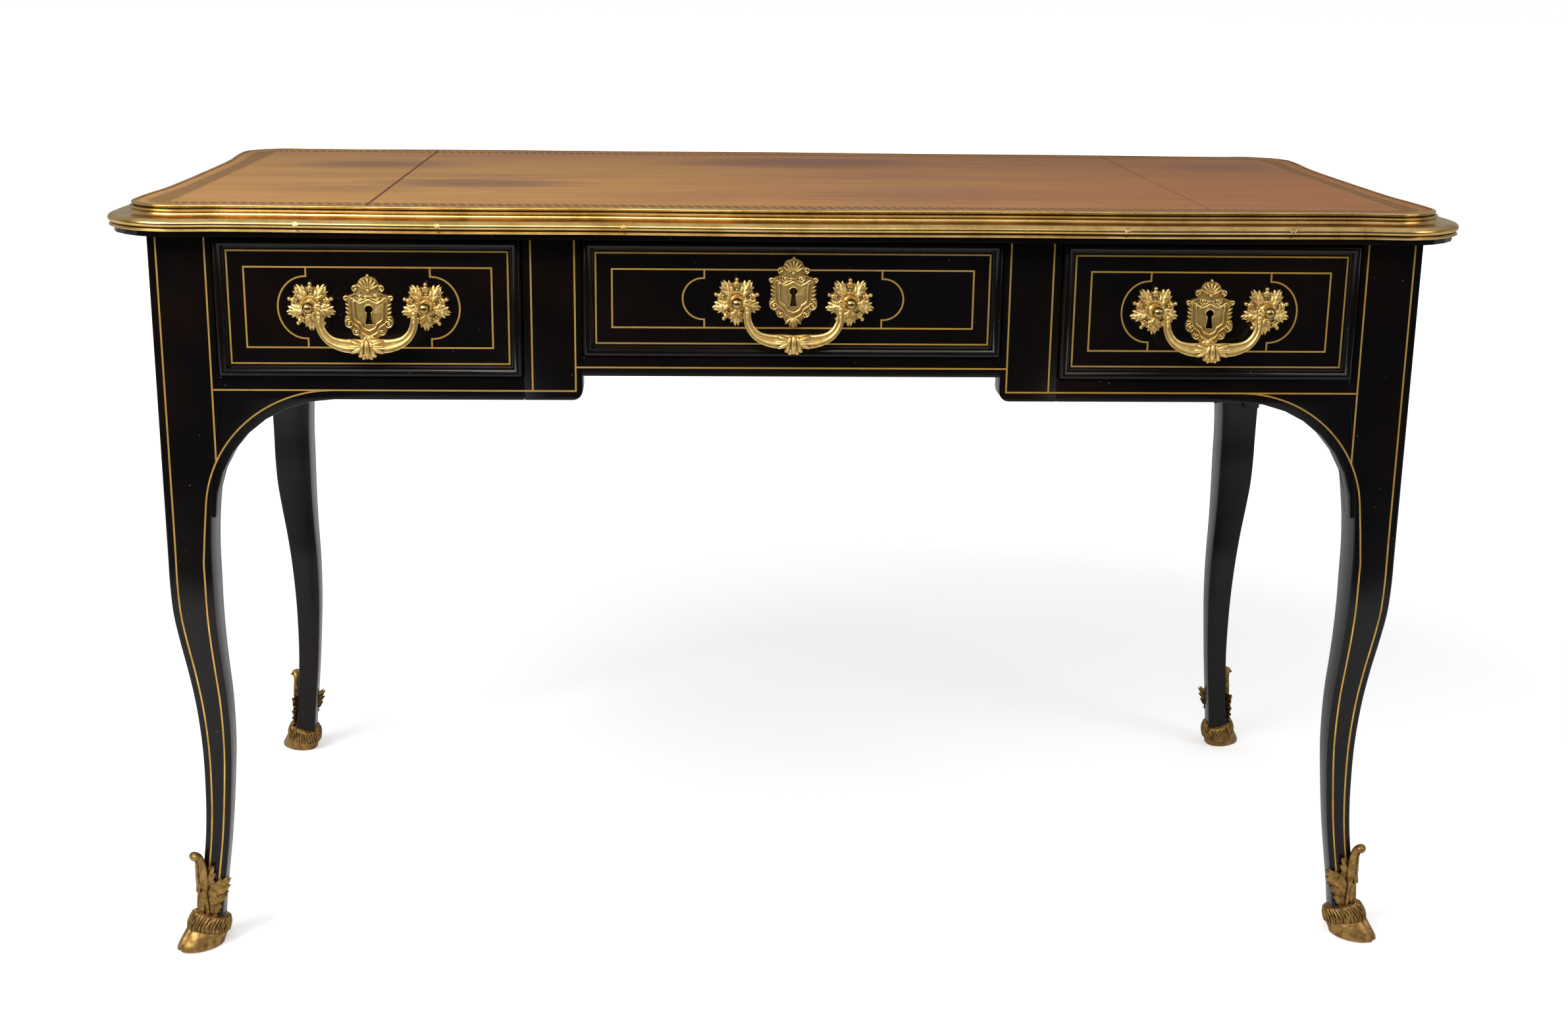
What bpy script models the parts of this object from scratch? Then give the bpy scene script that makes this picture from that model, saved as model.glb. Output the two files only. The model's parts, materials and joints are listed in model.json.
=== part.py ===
"""Bureau plat: a flat writing table on four cabriole legs, with three frieze drawers.

Metres, +Z up, the front faces -Y, and the origin is on the floor under the middle of the top.
Left and right are as seen from the front.
"""
import math

import bmesh
import bpy
from mathutils import Matrix, Vector

# Overall sizes
HEIGHT = 0.766
TOP_WIDTH = 1.310
TOP_DEPTH = 0.650
END_OVERHANG = 0.0435
FRONT_OVERHANG = 0.040

# Clearance between pieces that touch, and around the drawers
GAP = 0.0003
DRAWER_CLEARANCE = 0.001
CUT_MARGIN = 0.010

# Top: board, leather and brass edge
BRASS_WIDTH = 0.027
BRASS_HEIGHT = 0.0225
BRASS_LIP = 0.0045
BRASS_STEP = 0.0015
BEAD_RADIUS = 0.0017
BEAD_INSET = 0.0035
HOLLOW_HEIGHT = 0.0052
ROLL_DEPTH = 0.0103
BOARD_LIP = 0.0055
BOARD_SETBACK = 0.006
LIP_RISE = 0.001
LEATHER_THICKNESS = 0.002
LEATHER_SEAM_X = 0.405
FRONT_DIP = 0.005
END_RECESS = 0.010
CORNER_LENGTH = 0.112
CORNER_RADIUS = 0.075
CORNER_SWELL = 0.004
SIDE_HOLLOW = 0.008
PLAN_STEPS = 2

# Frieze, counted down from the underside of the top
FRIEZE_HEIGHT = 0.159
KNEE_RISE = 0.024
APRON_RAIL = 0.022
CENTRE_RAIL = 0.019
STILE_WIDTH = 0.060
POST_WIDTH = 0.0565
POST_DEPTH = 0.030
POST_FOOT_RADIUS = 0.010
KNEE_WIDTH = 0.406
APRON_THICKNESS = 0.022
PANEL_THICKNESS = 0.020
PARTITION_THICKNESS = 0.020
ARCH_SPAN = 0.120
ARCH_DROP = 0.118
ARCH_TIP = 0.004
ARCH_STEPS = 8

# Leg: share of its height under the frieze, inset of its outer faces, width of its square section
LEG_ROWS = (
    (0.030, 0.0045, 0.0240),
    (0.100, 0.0085, 0.0238),
    (0.173, 0.0135, 0.0238),
    (0.225, 0.0160, 0.0244),
    (0.277, 0.0172, 0.0258),
    (0.363, 0.0172, 0.0287),
    (0.449, 0.0142, 0.0318),
    (0.536, 0.0082, 0.0354),
    (0.605, 0.0022, 0.0402),
    (0.674, 0.0000, 0.0425),
    (0.761, 0.0000, 0.0434),
    (0.864, 0.0000, 0.0492),
    (0.951, 0.0000, 0.0560),
    (1.000, 0.0000, STILE_WIDTH),
)
LEG_STEPS = 18
LEG_CHAMFER = 0.0018

# Hoof shoe
SOCKET_FLOOR = 0.016
HOOF_SIDES = 16
HOOF_TOE_RISE = 0.020
HOOF_HEEL_RISE = 0.009
TUFT_HEIGHT = 0.016
LEAF_TOP = 0.098
LEAF_THICKNESS = 0.0026
LEAF_SPREAD = 1.02
LEAF_TAPER = 0.72
LEAF_TAPER_POWER = 1.6
LEAF_CORE = 0.25
SCROLL_RADIUS = 0.0045
SCROLL_REACH = 0.006

# Rings of the hoof from its sole up: middle inside the frame's corner, half length, half width,
# and the shares of the hoof's and the tuft's heights under the ring
HOOF_RINGS = (
    (0.0060, 0.0255, 0.0195, 0.00, 0.0),
    (0.0058, 0.0258, 0.0200, 0.15, 0.0),
    (0.0118, 0.0218, 0.0190, 0.95, 0.0),
    (0.0132, 0.0226, 0.0198, 1.00, 0.2),
    (0.0150, 0.0214, 0.0196, 1.00, 0.6),
    (0.0163, 0.0202, 0.0190, 1.00, 1.0),
)

# Drawers
FRONT_THICKNESS = 0.020
SIDE_THICKNESS = 0.010
BACK_THICKNESS = 0.010
BOTTOM_THICKNESS = 0.006
SIDE_TOP_DROP = 0.014
SIDE_LIFT = 0.003
BOTTOM_LIFT = 0.006
BOTTOM_SETBACK = 0.001
GROOVE_DEPTH = 0.004
STOP_GAP = 0.001
HEAD_GAP = 0.003
TAIL_COUNT = 3
TAIL_LENGTH = 0.012
TAIL_SLOPE = 0.22
TAIL_ROOT_SHARE = 0.22
RUNNER_HEIGHT = 0.015
RUNNER_LEDGE = 0.013
GUIDE_HEIGHT = 0.014
MOULD_WIDTH = 0.0095
MOULD_RISE = 0.0065
MOULD_SHAPE = ((0.0, 0.45), (0.22, 0.88), (0.5, 1.0), (0.82, 0.62), (1.0, 0.0))

# Handles
HANDLE_SPREAD = 0.109
SIDE_HANDLE_DROP = 0.067
CENTRE_HANDLE_DROP = 0.0605
ROSETTE_RADIUS = 0.0243
ROSETTE_LOBES = 10
LOBE_DEPTH = 0.08
POST_SIDES = 10
COLLAR_RADIUS = 0.0076
COLLAR_REACH = 0.0072
NECK_RADIUS = 0.0035
NECK_REACH = 0.0095
SHANK_RADIUS = 0.0022
NUT_RADIUS = 0.0050
NUT_HEIGHT = 0.0050
KNOB_RADIUS = 0.0057
KNOB_REACH = 0.018
PIN_RADIUS = 0.0013
PIN_DEPTH = 0.0032
ARM_STANDOFF = 0.0022
ARM_INSET = 0.0030
ARM_DROP = 0.0200
ARM_SIDES = 8
BAIL_DROP = 0.0365
BAIL_TIP_DROP = 0.0495
ARM_RADIUS = 0.0030
ARM_MIDDLE_RADIUS = 0.0048
LEAF_DROP_HALF = 0.0110

# Rings of the rosette's leaves: reach over the front, share of its radius, share of the lobing
ROSETTE_RINGS = ((GAP, 0.92, 1.0), (0.0018, 0.93, 1.0), (0.0048, 0.66, 0.4), (0.0042, 0.40, 0.0))

# Keyhole plates and locks
PLATE_HALF_WIDTH = 0.0232
PLATE_CREST = 0.0334
PLATE_FOOT = 0.0358
PLATE_THICKNESS = 0.0025
PLATE_CROWN = 0.0018
PLATE_PANEL = 0.86
SIDE_KEYHOLE_DROP = 0.0705
CENTRE_KEYHOLE_DROP = 0.051
KEYHOLE_RADIUS = 0.0038
KEYHOLE_LENGTH = 0.0152
LOCK_WIDTH = 0.056
LOCK_DEPTH = 0.013
LOCK_BELOW_KEY = 0.016
LOCK_TOP_DROP = 0.003
BOLT_WIDTH = 0.020
BOLT_DEPTH = 0.006
BOLT_HEIGHT = 0.030
BOLT_THROW = 0.010
BOLT_CLEARANCE = 0.0004

# Levels and planes that follow from the sizes
FRAME_WIDTH = TOP_WIDTH - 2 * END_OVERHANG
FRAME_DEPTH = TOP_DEPTH - 2 * FRONT_OVERHANG
LEATHER_TOP_Z = HEIGHT - LIP_RISE
BOARD_TOP_Z = LEATHER_TOP_Z - LEATHER_THICKNESS - GAP
BRASS_FOOT_Z = HEIGHT - BRASS_HEIGHT
BOARD_LIP_Z = BRASS_FOOT_Z - GAP
BOARD_FOOT_Z = BOARD_LIP_Z - BOARD_LIP
FRAME_TOP_Z = BOARD_FOOT_Z - GAP
APRON_FOOT_Z = FRAME_TOP_Z - FRIEZE_HEIGHT
APRON_TOP_Z = APRON_FOOT_Z + APRON_RAIL
RAIL_FOOT_Z = APRON_FOOT_Z + KNEE_RISE
RAIL_TOP_Z = RAIL_FOOT_Z + CENTRE_RAIL
DRAWER_HEAD_Z = BOARD_FOOT_Z - HEAD_GAP
HALF_FRAME = FRAME_WIDTH / 2
HALF_DEPTH = FRAME_DEPTH / 2
FRONT_Y = -HALF_DEPTH
BACK_INNER_Y = HALF_DEPTH - PANEL_THICKNESS
STILE_INNER_X = HALF_FRAME - STILE_WIDTH
POST_INNER_X = KNEE_WIDTH / 2
POST_OUTER_X = POST_INNER_X + POST_WIDTH
PARTITION_INNER_X = POST_INNER_X + (POST_WIDTH - PARTITION_THICKNESS) / 2
PARTITION_OUTER_X = PARTITION_INNER_X + PARTITION_THICKNESS
SIDE_RUNNER_Z = APRON_TOP_Z + DRAWER_CLEARANCE + SIDE_LIFT - GAP
CENTRE_RUNNER_Z = RAIL_TOP_Z + DRAWER_CLEARANCE + SIDE_LIFT - GAP

for old in list(bpy.data.objects):
    bpy.data.objects.remove(old, do_unlink=True)


# Materials
def linear(hex_colour):
    """sRGB hex to the linear colour that a shader takes."""
    channels = [int(hex_colour[i:i + 2], 16) / 255 for i in (0, 2, 4)]
    return [c / 12.92 if c <= 0.04045 else ((c + 0.055) / 1.055) ** 2.4 for c in channels] + [1.0]


def material(name, hex_colour, roughness, metallic=0.0):
    made = bpy.data.materials.new(name)
    made.use_nodes = True
    shader = made.node_tree.nodes["Principled BSDF"]
    shader.inputs["Base Color"].default_value = linear(hex_colour)
    shader.inputs["Roughness"].default_value = roughness
    shader.inputs["Metallic"].default_value = metallic
    made.diffuse_color = linear(hex_colour)
    return made


EBONISED = material("ebonised_wood", "14100e", 0.25)
OAK = material("drawer_oak", "8a6a45", 0.6)
LEATHER = material("tooled_leather", "b48650", 0.55)
BRASS = material("polished_brass", "b08d3c", 0.25, 1.0)
GILT = material("gilt_bronze", "d2a64c", 0.3, 1.0)
SHOE_BRONZE = material("worn_gilt_bronze", "9a7433", 0.4, 1.0)
LOCK_BRASS = material("lock_brass", "a08a55", 0.4, 1.0)
STEEL = material("lock_steel", "8f8d88", 0.4, 1.0)


# Modelling helpers
def face_out(bm):
    """Turn all faces of a closed shape outwards."""
    bmesh.ops.recalc_face_normals(bm, faces=bm.faces)
    if bm.calc_volume(signed=True) < 0:
        bmesh.ops.reverse_faces(bm, faces=bm.faces)
    return bm


def loft(bm, loops, ring=False):
    """Skin a row of equal loops; the ends are closed unless the row runs round to its start."""
    rings = [[bm.verts.new(point) for point in loop] for loop in loops]
    pairs = list(zip(rings, rings[1:]))
    if ring:
        pairs.append((rings[-1], rings[0]))
    else:
        bm.faces.new(rings[0])
        bm.faces.new(rings[-1])
    for low, high in pairs:
        for i, vert in enumerate(low):
            j = (i + 1) % len(low)
            bm.faces.new((vert, low[j], high[j], high[i]))
    return face_out(bm)


def prism(outline, place, start, end, bm=None):
    """Extrude an outline of (s, z) points; place(s, z, depth) gives each point in space."""
    bm = bm or bmesh.new()
    return loft(bm, [[place(s, z, depth) for s, z in outline] for depth in (start, end)])


def along_y(s, z, depth):
    return Vector((s, depth, z))


def along_x(s, z, depth):
    return Vector((depth, s, z))


def block(low, high):
    bm = bmesh.new()
    centre = (Vector(low) + Vector(high)) / 2
    size = Vector(high) - Vector(low)
    bmesh.ops.create_cube(bm, size=1.0, matrix=Matrix.Translation(centre) @ Matrix.Diagonal(size).to_4x4())
    return bm


def rectangle(x0, x1, z0, z1, inset, y):
    return [Vector((x0 + inset, y, z0 + inset)), Vector((x1 - inset, y, z0 + inset)),
            Vector((x1 - inset, y, z1 - inset)), Vector((x0 + inset, y, z1 - inset))]


def mesh_of(bm, name):
    mesh = bpy.data.meshes.new(name)
    bm.to_mesh(mesh)
    return mesh


def combine(base, *steps):
    """Run Boolean steps, each an operation and a bmesh, on a base; gives a new bmesh."""
    host = bpy.data.objects.new("host", mesh_of(base, "host"))
    bpy.context.collection.objects.link(host)
    tools = []
    for operation, tool_bm in steps:
        tool = bpy.data.objects.new("tool", mesh_of(tool_bm, "tool"))
        bpy.context.collection.objects.link(tool)
        boolean = host.modifiers.new(operation.lower(), "BOOLEAN")
        boolean.operation = operation
        boolean.solver = "EXACT"
        boolean.object = tool
        tools.append(tool)
    result = bmesh.new()
    result.from_mesh(host.evaluated_get(bpy.context.evaluated_depsgraph_get()).to_mesh())
    for done in [host] + tools:
        bpy.data.objects.remove(done, do_unlink=True)
    return result


def mirrored(bm, sign_x, sign_y):
    """A copy flipped across the middle planes, with its faces still pointing out."""
    copy = bm.copy()
    bmesh.ops.transform(copy, matrix=Matrix.Diagonal((sign_x, sign_y, 1, 1)), verts=copy.verts)
    if sign_x * sign_y < 0:
        bmesh.ops.reverse_faces(copy, faces=copy.faces)
    return copy


def empty(name, place, parent=None):
    holder = bpy.data.objects.new(name, None)
    bpy.context.collection.objects.link(holder)
    holder["place"] = list(place)
    holder.location = Vector(place) - (Vector(parent["place"]) if parent else Vector())
    holder.parent = parent
    return holder


def piece(name, bm, finish, parent, origin=(0, 0, 0), smooth=None):
    """Make the named object; its mesh is modelled in place and then hung on its origin."""
    bmesh.ops.translate(bm, verts=bm.verts, vec=-Vector(origin))
    mesh = mesh_of(bm, name)
    mesh.materials.append(finish)
    if smooth:
        mesh.shade_smooth()
        mesh.set_sharp_from_angle(angle=math.radians(smooth))
    made = bpy.data.objects.new(name, mesh)
    bpy.context.collection.objects.link(made)
    made.parent = parent
    made.location = Vector(origin) - Vector(parent["place"])
    return made


DESK = empty("desk", (0, 0, 0))


# Top: plan outline
def spline_point(p0, p1, p2, p3, share):
    """A point between p1 and p2 on a smooth curve whose knots follow the spacing of the points."""
    t0, knots = 0.0, []
    for a, b in ((p0, p1), (p1, p2), (p2, p3)):
        t0 += math.sqrt((b - a).length)
        knots.append(t0)
    t1, t2, t3 = knots
    t = t1 + (t2 - t1) * share
    a1, a2, a3 = p0.lerp(p1, t / t1), p1.lerp(p2, share), p2.lerp(p3, (t - t2) / (t3 - t2))
    return a1.lerp(a2, t / t2).lerp(a2.lerp(a3, (t - t1) / (t3 - t1)), share)


def plan_controls():
    """Points of the brass edge's outermost line, once round from the front left joint."""
    half_w, half_d = TOP_WIDTH / 2, TOP_DEPTH / 2
    joint = Vector((half_w - CORNER_LENGTH, END_RECESS - half_d))
    centre = Vector((half_w - CORNER_RADIUS, END_RECESS - CORNER_SWELL - half_d + CORNER_RADIUS))
    corner = [centre + CORNER_RADIUS * Vector((math.sin(turn), -math.cos(turn)))
              for turn in (math.radians(a) for a in (5, 30, 60, 85))]
    side = Vector((half_w - SIDE_HOLLOW * 0.8, -half_d * 0.45))
    front = [Vector((half_w * share, FRONT_DIP * dip - half_d)) for share, dip in ((0.28, 1.0), (0.52, 0.6))]
    right = [joint] + corner + [side]
    front_row = [Vector((-p.x, p.y)) for p in reversed(front)] + [Vector((0, -half_d))] + front
    right_row = right + [Vector((half_w - SIDE_HOLLOW, 0))] + [Vector((p.x, -p.y)) for p in reversed(right)]
    back_row = [Vector((-p.x, -p.y)) for p in front_row]
    left_row = [Vector((-p.x, -p.y)) for p in right_row]
    return front_row, right_row, back_row, left_row


def plan_line():
    """The outline as points with inward normals, and the index where each of its four lengths starts."""
    rows = plan_controls()
    controls = [p for row in rows for p in row]
    count = len(controls)
    points = []
    for i in range(count):
        around = [controls[(i + k) % count] for k in (-1, 0, 1, 2)]
        points += [spline_point(*around, step / PLAN_STEPS) for step in range(PLAN_STEPS)]
    line = []
    for i, point in enumerate(points):
        along = (points[(i + 1) % len(points)] - points[i - 1]).normalized()
        line.append((point, Vector((-along.y, along.x))))
    starts = [0]
    for row in rows:
        starts.append(starts[-1] + len(row) * PLAN_STEPS)
    return line, starts


PLAN, PLAN_STARTS = plan_line()


def plan_loop(inset, z):
    return [Vector((*(point + inward * inset), z)) for point, inward in PLAN]


def brass_section():
    """Brass edge in section: inset from its outermost line, and height over its foot."""
    width, height = BRASS_WIDTH, BRASS_HEIGHT
    lip_x = width - BRASS_LIP
    bead_x, bead_z = lip_x - BEAD_INSET, height - BRASS_STEP - BEAD_RADIUS
    roll_height = bead_z - BEAD_RADIUS - HOLLOW_HEIGHT
    inner = [(width, 0.0), (width, height), (lip_x, height), (lip_x, height - BRASS_STEP)]
    bead = [(bead_x + BEAD_RADIUS * math.cos(a), bead_z + BEAD_RADIUS * math.sin(a))
            for a in (math.radians(d) for d in (70, 140, 210))]
    hollow = [((ROLL_DEPTH + bead_x) / 2, roll_height + HOLLOW_HEIGHT / 2)]
    roll = [(ROLL_DEPTH * (1 - math.cos(a)), roll_height * (1 + math.sin(a)) / 2)
            for a in (math.radians(d) for d in (80, 45, 10, -30, -65))]
    return inner + bead + hollow + roll + [(ROLL_DEPTH, 0.0)]


def brass_length(name, first, last):
    section = brass_section()
    loops = []
    for i in range(first, last + 1):
        point, inward = PLAN[i % len(PLAN)]
        loops.append([Vector((*(point + inward * inset), BRASS_FOOT_Z + rise)) for inset, rise in section])
    for end, neighbour in ((0, 1), (-1, -2)):
        slip = (loops[neighbour][0] - loops[end][0]).normalized() * (GAP / 2)
        loops[end] = [point + slip for point in loops[end]]
    piece(name, loft(bmesh.new(), loops), BRASS, DESK, smooth=35)


def clip_x(points, limit, keep_above):
    """Keep the part of a closed outline on one side of x = limit."""
    kept = []
    for a, b in zip(points, points[1:] + points[:1]):
        inside_a, inside_b = (a.x > limit) == keep_above, (b.x > limit) == keep_above
        if inside_a:
            kept.append(a)
        if inside_a != inside_b:
            kept.append(a.lerp(b, (limit - a.x) / (b.x - a.x)))
    return kept


def make_top(mortises):
    edge = BRASS_WIDTH + GAP
    board = loft(bmesh.new(), [plan_loop(BOARD_SETBACK, BOARD_FOOT_Z), plan_loop(BOARD_SETBACK, BOARD_LIP_Z),
                               plan_loop(edge, BOARD_LIP_Z), plan_loop(edge, BOARD_TOP_Z)])
    board = combine(board, *[("DIFFERENCE", block(low, high)) for low, high in mortises])
    piece("top_board", board, EBONISED, DESK)
    skin = plan_loop(edge, 0.0)
    seam = LEATHER_SEAM_X
    panels = {"leather_left": clip_x(skin, -seam - GAP / 2, False),
              "leather_centre": clip_x(clip_x(skin, -seam + GAP / 2, True), seam - GAP / 2, False),
              "leather_right": clip_x(skin, seam + GAP / 2, True)}
    for name, outline in panels.items():
        loops = [[Vector((p.x, p.y, z)) for p in outline] for z in (BOARD_TOP_Z + GAP, LEATHER_TOP_Z)]
        piece(name, loft(bmesh.new(), loops), LEATHER, DESK)
    names = ("brass_edge_front", "brass_edge_right", "brass_edge_back", "brass_edge_left")
    # The side lengths turn the corners: each starts and ends at a joint on the long edges
    ends = [PLAN_STARTS[1], PLAN_STARTS[2] - PLAN_STEPS, PLAN_STARTS[3], PLAN_STARTS[4] - PLAN_STEPS]
    spans = ((ends[3] - len(PLAN), ends[0]), (ends[0], ends[1]), (ends[1], ends[2]), (ends[2], ends[3]))
    for name, (first, last) in zip(names, spans):
        brass_length(name, first, last)


# Legs
def smooth_row(share):
    """Inset and width of the leg at a share of its height, on a smooth curve through LEG_ROWS."""
    rows = LEG_ROWS
    share = min(max(share, rows[0][0]), rows[-1][0])
    k = next(i for i in range(len(rows) - 1) if share <= rows[i + 1][0])
    t = (share - rows[k][0]) / (rows[k + 1][0] - rows[k][0])
    around = [rows[min(max(i, 0), len(rows) - 1)] for i in range(k - 1, k + 3)]
    found = []
    for column in (1, 2):
        v0, v1, v2, v3 = [row[column] for row in around]
        square, cube = 2 * v0 - 5 * v1 + 4 * v2 - v3, 3 * (v1 - v2) + v3 - v0
        found.append(v1 + t / 2 * (v2 - v0 + t * (square + t * cube)))
    return found


LEG_FOOT_Z = SOCKET_FLOOR + GAP
LEG_LEVELS = [LEG_FOOT_Z + (APRON_FOOT_Z - LEG_FOOT_Z) * i / LEG_STEPS for i in range(LEG_STEPS + 1)]
LEG_LEVELS.append(FRAME_TOP_Z)


def leg_faces(z):
    """Distances of the leg's outer and inner faces from the frame's corner, straight between levels."""
    z = min(max(z, LEG_LEVELS[0]), LEG_LEVELS[-1])
    k = next(i for i in range(len(LEG_LEVELS) - 1) if z <= LEG_LEVELS[i + 1])
    t = (z - LEG_LEVELS[k]) / (LEG_LEVELS[k + 1] - LEG_LEVELS[k])
    ends = []
    for level in LEG_LEVELS[k:k + 2]:
        inset, width = smooth_row(level / APRON_FOOT_Z)
        ends.append((max(inset, 0.0), max(inset, 0.0) + width))
    return [a + (b - a) * t for a, b in zip(*ends)]


def corner_point(a, b, z):
    """A point of the front right corner, from its distances inside the frame's outer planes."""
    return Vector((HALF_FRAME - a, FRONT_Y + b, z))


def leg_loop(z, grow=0.0):
    outer, inner = leg_faces(z)
    low, high, cut = outer - grow, inner + grow, LEG_CHAMFER
    square = [(low + cut, low), (high - cut, low), (high, low + cut), (high, high - cut),
              (high - cut, high), (low + cut, high), (low, high - cut), (low, low + cut)]
    return [corner_point(a, b, z) for a, b in square]


def hoof_loop(middle, half_length, half_width, toe_z, heel_z):
    """Oval on the leg's diagonal, with its toe at the outer corner; it slopes down to the heel."""
    loop = []
    for i in range(HOOF_SIDES):
        turn = 2 * math.pi * i / HOOF_SIDES
        along, across = -math.cos(turn) * half_length, math.sin(turn) * half_width
        a = middle + (along - across) / math.sqrt(2)
        b = middle + (along + across) / math.sqrt(2)
        loop.append(corner_point(a, b, heel_z + (toe_z - heel_z) * (1 + math.cos(turn)) / 2))
    return loop


def shoe():
    """Cast shoe: hoof, tuft band, and a leaf with a scroll up the outer corner, hollowed for the leg."""
    hoof = loft(bmesh.new(), [
        hoof_loop(middle, half_length, half_width, HOOF_TOE_RISE * hoof_share + TUFT_HEIGHT * tuft_share,
                  HOOF_HEEL_RISE * hoof_share + TUFT_HEIGHT * tuft_share)
        for middle, half_length, half_width, hoof_share, tuft_share in HOOF_RINGS])
    leaf_foot = HOOF_HEEL_RISE + TUFT_HEIGHT / 2
    levels = [leaf_foot] + [z for z in LEG_LEVELS if leaf_foot < z < LEAF_TOP] + [LEAF_TOP]
    loops = []
    for z in levels:
        outer, inner = leg_faces(z)
        rise = (z - leaf_foot) / (LEAF_TOP - leaf_foot)
        low = outer - LEAF_THICKNESS
        reach = outer + (inner - outer) * (LEAF_SPREAD - LEAF_TAPER * rise ** LEAF_TAPER_POWER)
        core = outer + (inner - outer) * LEAF_CORE
        loops.append([corner_point(a, b, z) for a, b in (
            (low, low), (reach, low), (reach, core), (core, core), (core, reach), (low, reach))])
    leaf = loft(bmesh.new(), loops)
    outer = leg_faces(LEAF_TOP)[0]
    scroll = bmesh.new()
    spot = corner_point(outer - SCROLL_REACH / 2, outer - SCROLL_REACH / 2, LEAF_TOP)
    bmesh.ops.create_icosphere(scroll, subdivisions=1, radius=SCROLL_RADIUS, matrix=Matrix.Translation(spot))
    top = LEAF_TOP + SCROLL_RADIUS + CUT_MARGIN
    between = [z for z in LEG_LEVELS if LEG_FOOT_Z < z < top]
    socket = loft(bmesh.new(), [leg_loop(z, GAP) for z in [SOCKET_FLOOR] + between + [top]])
    return combine(hoof, ("UNION", leaf), ("UNION", scroll), ("DIFFERENCE", socket))


def make_legs():
    leg = loft(bmesh.new(), [leg_loop(z) for z in LEG_LEVELS])
    sabot = shoe()
    for depth_name, sign_y in (("front", 1), ("rear", -1)):
        for side_name, sign_x in (("left", -1), ("right", 1)):
            corner = depth_name + "_" + side_name
            piece("leg_" + corner, mirrored(leg, sign_x, sign_y), EBONISED, DESK, smooth=30)
            piece("sabot_" + corner, mirrored(sabot, sign_x, sign_y), SHOE_BRONZE, DESK, smooth=40)


# Frieze
def arched_end(half, top_z):
    """End of a frieze board beside a leg: down the leg's inner face, then back along the arch."""
    spring_z = APRON_FOOT_Z - ARCH_DROP
    levels = [top_z] + [z for z in reversed(LEG_LEVELS) if spring_z < z < top_z] + [spring_z]
    edge = [(half - leg_faces(z)[1] - GAP, z) for z in levels]
    tip = edge[-1][0] - ARCH_TIP
    arch = [(tip - ARCH_SPAN * (1 - math.cos(a)), spring_z + ARCH_DROP * math.sin(a))
            for a in (math.pi / 2 * i / ARCH_STEPS for i in range(ARCH_STEPS + 1))]
    return edge + arch


def mould_ring(x0, x1, z0, z1, sink):
    """Closed mitred moulding round a rectangle; gives (s, z) loops with how far each stands out."""
    shape = [(0.0, -sink)] + [(MOULD_WIDTH * u, MOULD_RISE * v) for u, v in MOULD_SHAPE]
    shape.append((MOULD_WIDTH, -sink))
    rings = []
    for inset, rise in shape:
        corners = ((x0 + inset, z0 + inset), (x1 - inset, z0 + inset),
                   (x1 - inset, z1 - inset), (x0 + inset, z1 - inset))
        rings.append((corners, rise))
    return rings


def make_frieze():
    for name, sign in (("left", -1), ("right", 1)):
        inner_end = POST_OUTER_X + GAP
        outline = arched_end(HALF_FRAME, APRON_TOP_Z) + [(inner_end, APRON_FOOT_Z), (inner_end, APRON_TOP_Z)]
        apron = prism(outline, along_y, FRONT_Y, FRONT_Y + APRON_THICKNESS)
        piece("apron_" + name, mirrored(apron, sign, 1), EBONISED, DESK)

        radius = POST_FOOT_RADIUS
        foot = [(POST_INNER_X + radius * (1 - math.cos(a)), APRON_FOOT_Z + radius * (1 - math.sin(a)))
                for a in (math.radians(d) for d in (0, 22.5, 45, 67.5, 90))]
        head = [(POST_OUTER_X, APRON_FOOT_Z), (POST_OUTER_X, FRAME_TOP_Z), (POST_INNER_X, FRAME_TOP_Z)]
        post = prism(foot + head, along_y, FRONT_Y, FRONT_Y + POST_DEPTH)
        piece("post_" + name, mirrored(post, sign, 1), EBONISED, DESK)

        make_partition("partition_" + name, sign)
        make_side_panel("side_panel_" + name, sign)
    end = POST_INNER_X - GAP
    rail = block((-end, FRONT_Y, RAIL_FOOT_Z), (end, FRONT_Y + POST_DEPTH, RAIL_TOP_Z))
    piece("rail_centre", rail, EBONISED, DESK)
    make_back_panel()


def make_partition(name, sign):
    """Side of the knee space, with a runner and a guide for the drawer on each face."""
    side_run, centre_run = SIDE_RUNNER_Z, CENTRE_RUNNER_Z
    side_ledge, centre_ledge = POST_OUTER_X + RUNNER_LEDGE, POST_INNER_X - RUNNER_LEDGE
    profile = [
        (PARTITION_INNER_X, APRON_FOOT_Z), (PARTITION_OUTER_X, APRON_FOOT_Z),
        (PARTITION_OUTER_X, side_run - RUNNER_HEIGHT), (side_ledge, side_run - RUNNER_HEIGHT),
        (side_ledge, side_run), (POST_OUTER_X, side_run),
        (POST_OUTER_X, side_run + GUIDE_HEIGHT), (PARTITION_OUTER_X, side_run + GUIDE_HEIGHT),
        (PARTITION_OUTER_X, FRAME_TOP_Z), (PARTITION_INNER_X, FRAME_TOP_Z),
        (PARTITION_INNER_X, centre_run + GUIDE_HEIGHT), (POST_INNER_X, centre_run + GUIDE_HEIGHT),
        (POST_INNER_X, centre_run), (centre_ledge, centre_run),
        (centre_ledge, centre_run - RUNNER_HEIGHT), (PARTITION_INNER_X, centre_run - RUNNER_HEIGHT)]
    start = FRONT_Y + max(POST_DEPTH, APRON_THICKNESS) + GAP
    partition = prism(profile, along_y, start, BACK_INNER_Y - GAP)
    piece(name, mirrored(partition, sign, 1), EBONISED, DESK)


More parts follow.
